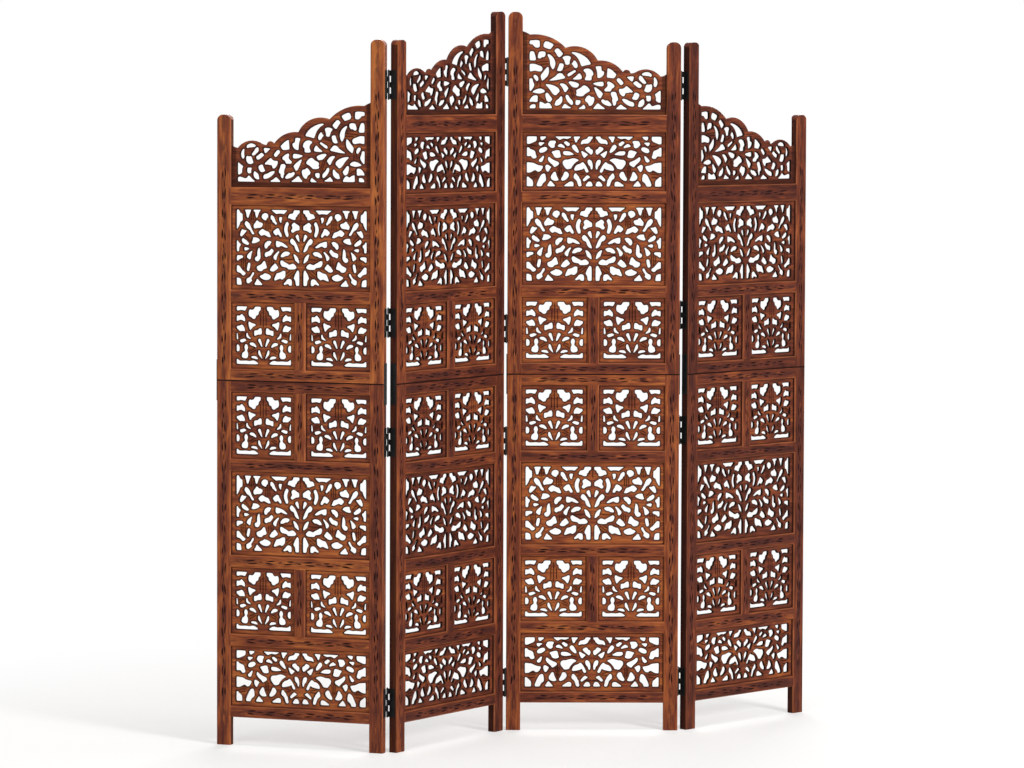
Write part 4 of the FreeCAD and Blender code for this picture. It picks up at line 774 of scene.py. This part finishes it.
def board_mesh(design, box, front, back, flip):
    """One board in bench millimetres: points, faces, and darkening where it is stained and where shade is
    painted.
    """
    flat, triangles, walls = design["flat"], design["triangles"], design["walls"]
    count = len(flat)
    x = flat[:, 0] if not flip else design["size"][0] - flat[:, 0]
    z = flat[:, 1] + box[2]
    low = np.column_stack([x + box[0], front + design["depth"], z])
    high = np.column_stack([x + box[0], back - design["depth"], z])
    wall = np.column_stack([walls[:, 1], walls[:, 0], walls[:, 0] + count])
    wall_b = np.column_stack([walls[:, 1], walls[:, 0] + count, walls[:, 1] + count])
    faces = np.vstack([triangles, triangles[:, ::-1] + count, wall, wall_b])
    if flip:
        faces = faces[:, ::-1]
    return np.vstack([low, high]), faces, np.concatenate([design["stain_and_shade"]] * 2)


for panel in PANELS:
    for ending in ("tree_boards", "wide_boards", "wide_board", "square_boards", "crest_board"):
        node_name = f"{panel}_{ending}"
        if node_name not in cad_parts:
            continue
        kind = "wide_boards" if ending == "wide_board" else ending
        crest = kind == "crest_board"
        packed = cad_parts[node_name]
        packed_points = on_bench(points_of(packed), panel)
        boxes = board_boxes(packed_points, triangles_of(packed))
        front, back = packed_points[:, 1].min(), packed_points[:, 1].max()
        parts, base = [], 0
        for box in boxes:
            points, faces, stain_and_shade = board_mesh(DESIGNS[kind], box, front, back,
                                              crest and panel in ("panel_1", "panel_2"))
            tone = PANEL_PAINTED_SHADE[panel] + rng.uniform(*BOARD_TONES) + (CREST_TONE if crest else 0)
            grain = points + rng.uniform(0, GRAIN_SHIFT_MM, 3)
            parts.append((points, faces + base, stain_and_shade, np.full(len(points), tone), grain))
            base += len(points)
        points, faces, stain_and_shade, tone, grain = (np.concatenate(column) for column in zip(*parts))
        mesh = bpy.data.meshes.new(node_name + "_carved")
        mesh.from_pydata((points * MM).tolist(), [], faces.tolist())
        piece = new_piece(node_name + "_carved", mesh)
        write_attributes(piece, "POINT", grain=grain, tone=tone, dark=stain_and_shade, rub=np.zeros(len(points)),
                         band=np.full(len(points), NO_SMUDGE_MM))
        finish_piece(piece, panel, carved_wood, node_name)
        width, height = DESIGNS[kind]["size"]
        off = max(max(abs(x1 - x0 - width), abs(z1 - z0 - height)) for x0, x1, z0, z1 in boxes)
        print(node_name, len(boxes), "boards", len(faces), "triangles, pattern off by", round(off, 3), "mm")

# %% [markdown]
# ## The frame's cutters
# The carver eases the frame with three tools. A chamfer runs round each opening, the stiles' outer edges
# and tops are rounded over, and a gouge leaves rows of pointed cuts along every stick. Each is made here as
# a cutter, a closed shape that a Boolean modifier takes away.

# %% Chamfers, rounded corners and the seam
CHAMFER_MM = 2.6
CORNER_MM, CORNER_STEPS = 1.6, 3
TOP_ROUND_MM, TOP_ROUND_STEPS = 14.0, 7
SEAM_MM = 1.5
OVERRUN_MM = 1.0


def chamfer_block(opening, face_y, way):
    """A block whose sides slope at 45 degrees round one opening. way is 1 on the front and -1 on the back."""
    x0, x1, z0, z1 = opening
    rings = []
    for depth in (-OVERRUN_MM, CHAMFER_MM + OVERRUN_MM):
        out = CHAMFER_MM - depth
        y = face_y + way * depth
        rings += [(x0 - out, y, z0 - out), (x1 + out, y, z0 - out), (x1 + out, y, z1 + out),
                  (x0 - out, y, z1 + out)]
    faces = [(0, 1, 2, 3), (7, 6, 5, 4)] + [(i, i + 4, (i + 1) % 4 + 4, (i + 1) % 4) for i in range(4)]
    if way < 0:
        faces = [face[::-1] for face in faces]
    return rings, faces


def waste(radius, steps):
    """The section of what a rounding takes off a square corner, measured from the corner's two sides."""
    angles = np.linspace(0, math.pi / 2, steps + 1)
    arc = [(radius * (1 - math.sin(a)), radius * (1 - math.cos(a))) for a in angles]
    return [(-OVERRUN_MM, -OVERRUN_MM), (radius, -OVERRUN_MM)] + arc + [(-OVERRUN_MM, radius)]


def bar_faces(count, mirrored):
    """The faces of a bar whose two ends have the same outline."""
    sides = [(i, (i + 1) % count, (i + 1) % count + count, i + count) for i in range(count)]
    faces = [tuple(range(count))[::-1], tuple(range(count, 2 * count))] + sides
    return [face[::-1] for face in faces] if mirrored else faces


def corner_block(x, y, way_x, way_y, z0, z1):
    """What a rounding-over plane takes off one long edge."""
    section = waste(CORNER_MM, CORNER_STEPS)
    points = [(x + way_x * a, y + way_y * b, z) for z in (z0, z1) for a, b in section]
    return points, bar_faces(len(section), way_x * way_y < 0)


def top_block(x, z, way_x, y0, y1):
    """What a rasp takes off one corner of a stile's top."""
    section = waste(TOP_ROUND_MM, TOP_ROUND_STEPS)
    points = [(x + way_x * a, y, z - b) for y in (y0, y1) for a, b in section]
    return points, bar_faces(len(section), way_x < 0)


def seam_groove(x0, x1, z, face_y, way):
    """A three-sided bar that eases both edges where the upper frame stands on the lower one."""
    out = SEAM_MM + OVERRUN_MM
    points = [(x, face_y + way * y, z + rise) for x in (x0, x1)
              for y, rise in ((-OVERRUN_MM, out), (-OVERRUN_MM, -out), (SEAM_MM, 0.0))]
    faces = [(0, 1, 2), (5, 4, 3), (0, 3, 4, 1), (1, 4, 5, 2), (2, 5, 3, 0)]
    if way > 0:
        faces = [face[::-1] for face in faces]
    return points, faces


# %% [markdown]
# A gouge cut is pointed at both ends. A small sphere is drawn out to two points for it, and each cut gets
# its own size and tilt, because the carver works by eye. Two cuts side by side make a unit, and a fine cut
# links it to the next one.

# %% Gouge cuts
CUT_HALF_WIDTH_MM, CUT_DEPTH_MM, CUT_LIFT_MM = 1.7, 1.7, 0.12
WIDTH_RANGE, DEPTH_RANGE, LENGTH_RANGE = (0.8, 1.2), (0.8, 1.1), (0.75, 1.12)
CUT_TILT_DEGREES = 6.0
CUT_SLIP_MM, CUT_ROW_MM = 2.5, 3.1
SLIP_JITTER_MM, ROW_JITTER_MM, LINK_JITTER_MM = 2.0, 0.7, 1.2
LEAN_CHANCE, LINK_SHARE = 0.7, 0.62

bpy.ops.mesh.primitive_uv_sphere_add(segments=12, ring_count=10, radius=1.0)
gouge = bpy.context.object
GOUGE_POINTS = points_of(gouge) * MM
GOUGE_FACES = [tuple(face.vertices) for face in gouge.data.polygons]
GOUGE_POINTS[:, :2] *= np.linalg.norm(GOUGE_POINTS[:, :2], axis=1)[:, None]
bpy.data.objects.remove(gouge)


def jitter(most):
    """A random amount, up to the given one to either side."""
    return rng.uniform(-most, most)


def gouge_cut(along, across, face_y, way, half_length, upright, share=1.0):
    """One pointed cut: a sphere drawn out to a point at both ends, laid with its middle at the surface."""
    half = (CUT_HALF_WIDTH_MM * share * rng.uniform(*WIDTH_RANGE),
            CUT_DEPTH_MM * share * rng.uniform(*DEPTH_RANGE), half_length * rng.uniform(*LENGTH_RANGE))
    width, depth, length = (GOUGE_POINTS * half).T
    tilt = math.radians(jitter(CUT_TILT_DEGREES))
    run = length * math.cos(tilt) - width * math.sin(tilt) + along
    side = length * math.sin(tilt) + width * math.cos(tilt) + across
    y = face_y - way * CUT_LIFT_MM + depth
    points = np.column_stack([side, y, run]) if upright else np.column_stack([run, y, side])
    faces = GOUGE_FACES if upright else [face[::-1] for face in GOUGE_FACES]
    return points.tolist(), faces


def motif(start, stop, middle, half_length, count, pitch, upright, faces_y):
    """Lens-shaped units of two cuts, linked by a fine one, on a stick's front and on its back."""
    made = []
    for face_y, way in faces_y:
        for unit in range(count):
            along = (start + stop) / 2 + (unit - (count - 1) / 2) * pitch
            lean = 1 if rng.random() < LEAN_CHANCE else -1
            for slip in (-1, 1):
                made.append(gouge_cut(along + lean * slip * CUT_SLIP_MM + jitter(SLIP_JITTER_MM),
                                      middle + slip * CUT_ROW_MM + jitter(ROW_JITTER_MM),
                                      face_y, way, half_length, upright))
            if unit < count - 1:
                made.append(gouge_cut(along + pitch / 2, middle + jitter(LINK_JITTER_MM), face_y, way,
                                      half_length * LINK_SHARE, upright, LINK_SHARE))
    return made


# %% [markdown]
# A cutter's faces carry a slot number, and the Boolean hands it to the faces that it leaves, so each kind
# of cut can be coloured in its own way: stain in the gouge cuts, and wear with a painted highlight on the
# chamfers. It looks for the same material, so piece and cutter have the same three slots.

# %% Cutters
PLAIN, CHAMFERED, GOUGED = 0, 1, 2


def give_slots(mesh):
    """One slot for each kind of face, all of the frame's wood."""
    mesh.materials.clear()
    for _ in (PLAIN, CHAMFERED, GOUGED):
        mesh.materials.append(frame_wood)


def cutter_from(*groups):
    """One closed mesh from groups of solids. Each group has its own slot number."""
    points, faces, numbers = [], [], []
    for number, solids in groups:
        for solid_points, solid_faces in solids:
            base = len(points)
            points += [tuple(v * MM for v in point) for point in solid_points]
            faces += [tuple(base + i for i in face) for face in solid_faces]
            numbers += [number] * len(solid_faces)
    mesh = bpy.data.meshes.new("cutter")
    mesh.from_pydata(points, [], faces)
    give_slots(mesh)
    mesh.polygons.foreach_set("material_index", numbers)
    return new_piece("cutter", mesh)


def take_away(piece, cutter):
    """Cut the piece with a Boolean modifier and apply it."""
    if len(piece.data.materials) <= GOUGED:
        give_slots(piece.data)
    pick(piece)
    step = piece.modifiers.new("carving", "BOOLEAN")
    step.object, step.operation, step.solver = cutter, "DIFFERENCE", "MANIFOLD"
    bpy.ops.object.modifier_apply(modifier=step.name)
    bpy.data.objects.remove(cutter)


# %% [markdown]
# ## Stiles, rails and mullions
# Every stick keeps the joints of the imported model, and only its outside is eased and carved. A stick's
# grain runs along it, so the grain attribute swaps the axes for an upright stick. The left stiles' outer
# sides are painted much darker than the right sides, and the sides of the recesses are painted dark too:
# both are painted shade.

# %% Carving of one node
STICK_TONES = (-0.07, 0.13)
# Painted shade: how dark a left stile's outer side and the sides of each recess are painted.
SIDE_PAINTED_SHADE, RECESS_PAINTED_SHADE = 0.7, 0.7
REGION_SIDE_MM, REGION_END_MM = 1.0, 0.3


def box_of(node_name, panel):
    """Lowest and highest corner of a node on the bench, in millimetres."""
    points = on_bench(points_of(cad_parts[node_name]), panel)
    return points.min(0), points.max(0)


def mark_edges_of_cuts(piece):
    """Keep the rim of every cut crisp when the piece is smoothed, and give each face's slot number."""
    mesh = piece.data
    numbers = np.empty(len(mesh.polygons), np.int32)
    totals, edge_of = np.empty_like(numbers), np.empty(len(mesh.loops), np.int32)
    mesh.polygons.foreach_get("material_index", numbers)
    mesh.polygons.foreach_get("loop_total", totals)
    mesh.loops.foreach_get("edge_index", edge_of)
    of_loop = np.repeat(numbers, totals)
    low, high = np.full(len(mesh.edges), GOUGED + 1), np.full(len(mesh.edges), -1)
    np.minimum.at(low, edge_of, of_loop)
    np.maximum.at(high, edge_of, of_loop)
    mesh.edges.foreach_set("use_edge_sharp", (low != high).tolist())
    return numbers


def carve_sticks(node_name, panel, upright, regions, passes, dark_sides=()):
    """Cut one node's sticks, write their attributes and put them in their place."""
    piece = bench_copy(node_name, panel, tidy=True)
    for groups in passes:
        take_away(piece, cutter_from(*groups))
    numbers = mark_edges_of_cuts(piece)
    stain_and_shade = (numbers == GOUGED).astype(float)
    middles = np.empty(len(piece.data.polygons) * 3)
    piece.data.polygons.foreach_get("center", middles)
    # Painted shade on the given side faces.
    for side_x, amount in dark_sides:
        stain_and_shade[np.abs(middles.reshape(-1, 3)[:, 0] / MM - side_x) < CORNER_MM / 2] = amount
    points = points_of(piece)
    x, _, z = points.T
    grain = points[:, [2, 0, 1]] if upright else points.copy()
    tone, band = np.zeros(len(points)), np.zeros(len(points))
    for x0, x1, z0, z1 in regions:
        here = ((x > x0 - REGION_SIDE_MM) & (x < x1 + REGION_SIDE_MM)
                & (z > z0 - REGION_END_MM) & (z < z1 + REGION_END_MM))
        grain[here] += rng.uniform(0, GRAIN_SHIFT_MM, 3)
        # The panel's painted shade plus the stick's own tone.
        tone[here] = PANEL_PAINTED_SHADE[panel] + rng.uniform(*STICK_TONES)
        band[here] = x[here] - (x0 + x1) / 2 if upright else z[here] - (z0 + z1) / 2
    write_attributes(piece, "POINT", grain=grain, tone=tone, band=band)
    # Chamfers get the rubbed colour: wear, together with a painted highlight.
    write_attributes(piece, "FACE", dark=stain_and_shade, rub=numbers == CHAMFERED)
    finish_piece(piece, panel, frame_wood, node_name)
    print(node_name, len(piece.data.polygons), "faces,", int((numbers == GOUGED).sum()), "in gouge cuts")


# %% [markdown]
# The openings are read from the sticks themselves: between two rails, and between the stiles and any
# mullion. The lowest and the highest are open at one end.

# %% Openings of one panel
OPEN_END_MM, SMALLEST_OPENING_MM = 60.0, 5.0
SEAM_REACH_MM = 1.0


def rails_of(panel, seam):
    """The height spans of a panel's rails. The two that meet at the seam count as two."""
    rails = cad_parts[f"{panel}_rails"]
    spans = []
    for low, high in tile_spans(on_bench(points_of(rails), panel), triangles_of(rails), 2):
        crosses = low < seam - SEAM_REACH_MM and high > seam + SEAM_REACH_MM
        spans += [(low, seam), (seam, high)] if crosses else [(low, high)]
    return spans


def openings_of(rails, mullions, left, right, bottom, top):
    """The box of each opening: left, right, bottom and top."""
    openings = [(left, right, bottom - OPEN_END_MM, rails[0][0])]
    for (_, low), (high, _) in zip(rails[:-1], rails[1:]):
        if high - low > SMALLEST_OPENING_MM:
            across = [m for m in mullions if m[2] < (low + high) / 2 < m[3]]
            ends = [left, *across[0][:2], right] if across else [left, right]
            openings += [(x0, x1, low, high) for x0, x1 in zip(ends[::2], ends[1::2])]
    return openings + [(left, right, rails[-1][1], top + OPEN_END_MM)]


# %% [markdown]
# Rails and mullions are cut in one pass each. A stile takes two, first its long edges and then its face, so
# that an edge cut and the seam groove that crosses it are never in one cutter.

# %% Carve the frames
RAIL_UNITS, RAIL_PITCH_MM = 6, 46.0
MULLION_UNITS, MULLION_PITCH_MM = 3, 44.0
STILE_PITCH_MM, STILE_END_MM, STILE_TOP_MM = 46.0, 30.0, 85.0
RAIL_CUT_MM, STILE_CUT_MM, MULLION_CUT_MM = 12.5, 12.0, 11.0
PAST_END_MM = 20.0

for panel in PANELS:
    left_low, left_high = box_of(f"{panel}_lower_left_stile", panel)
    right_low, right_high = box_of(f"{panel}_lower_right_stile", panel)
    seam, front, back = left_high[2], left_low[1], left_high[1]
    inner_left, inner_right = left_high[0], right_low[0]
    faces_y = ((front, 1), (back, -1))
    rails = rails_of(panel, seam)
    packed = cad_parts[f"{panel}_mullions"]
    mullions = board_boxes(on_bench(points_of(packed), panel), triangles_of(packed))
    tall = max(box_of(f"{panel}_upper_{side}_stile", panel)[1][2] for side in ("left", "right"))
    openings = openings_of(rails, mullions, inner_left, inner_right, left_low[2], tall)
    chamfers = [chamfer_block(opening, *face) for opening in openings for face in faces_y]
    grooves = [seam_groove(left_low[0] - PAST_END_MM, right_high[0] + PAST_END_MM, seam, *face)
               for face in faces_y]
    print(panel, len(openings), "openings, seam at", round(seam, 1), "mm")

    cuts = []
    for low, high in rails:
        cuts += motif(inner_left, inner_right, (low + high) / 2, RAIL_CUT_MM, RAIL_UNITS, RAIL_PITCH_MM,
                      False, faces_y)
    regions = [(left_low[0], right_high[0], low, high) for low, high in rails]
    carve_sticks(f"{panel}_rails", panel, False, regions,
                 [((CHAMFERED, chamfers), (GOUGED, cuts + grooves))])

    cuts = []
    for x0, x1, z0, z1 in mullions:
        cuts += motif(z0, z1, (x0 + x1) / 2, MULLION_CUT_MM, MULLION_UNITS, MULLION_PITCH_MM, True, faces_y)
    # Painted shade on the mullions' sides, which face into the recesses.
    recesses = [(x, RECESS_PAINTED_SHADE) for x in sorted({round(x, 2) for m in mullions for x in m[:2]})]
    carve_sticks(f"{panel}_mullions", panel, True, mullions, [((CHAMFERED, chamfers), (GOUGED, cuts))],
                 recesses)

    for level in ("lower", "upper"):
        for side in ("left", "right"):
            node_name = f"{panel}_{level}_{side}_stile"
            low, high = box_of(node_name, panel)
            outer, inner, way = (low[0], high[0], 1) if side == "left" else (high[0], low[0], -1)
            corners = [corner_block(outer, y, way, way_y, low[2] - PAST_END_MM, high[2] + PAST_END_MM)
                       for y, way_y in faces_y]
            start, stop, tops = max(low[2], rails[0][0]), high[2], []
            if level == "upper":
                stop -= STILE_TOP_MM
                tops = [top_block(x, high[2], way_x, front - OVERRUN_MM, back + OVERRUN_MM)
                        for x, way_x in ((low[0], 1), (high[0], -1))]
            count = int((stop - start - STILE_END_MM) / STILE_PITCH_MM)
            cuts = motif(start, stop, (low[0] + high[0]) / 2, STILE_CUT_MM, count, STILE_PITCH_MM, True,
                         faces_y)
            # Painted shade on the inner side, in the recess, and on a left stile's outer side.
            dark_sides = [(inner, RECESS_PAINTED_SHADE)] + ([(outer, SIDE_PAINTED_SHADE)] if side == "left" else [])
            carve_sticks(node_name, panel, True, [(low[0], high[0], low[2], high[2])],
                         [((CHAMFERED, chamfers + corners),), ((PLAIN, tops), (GOUGED, cuts + grooves))],
                         dark_sides)
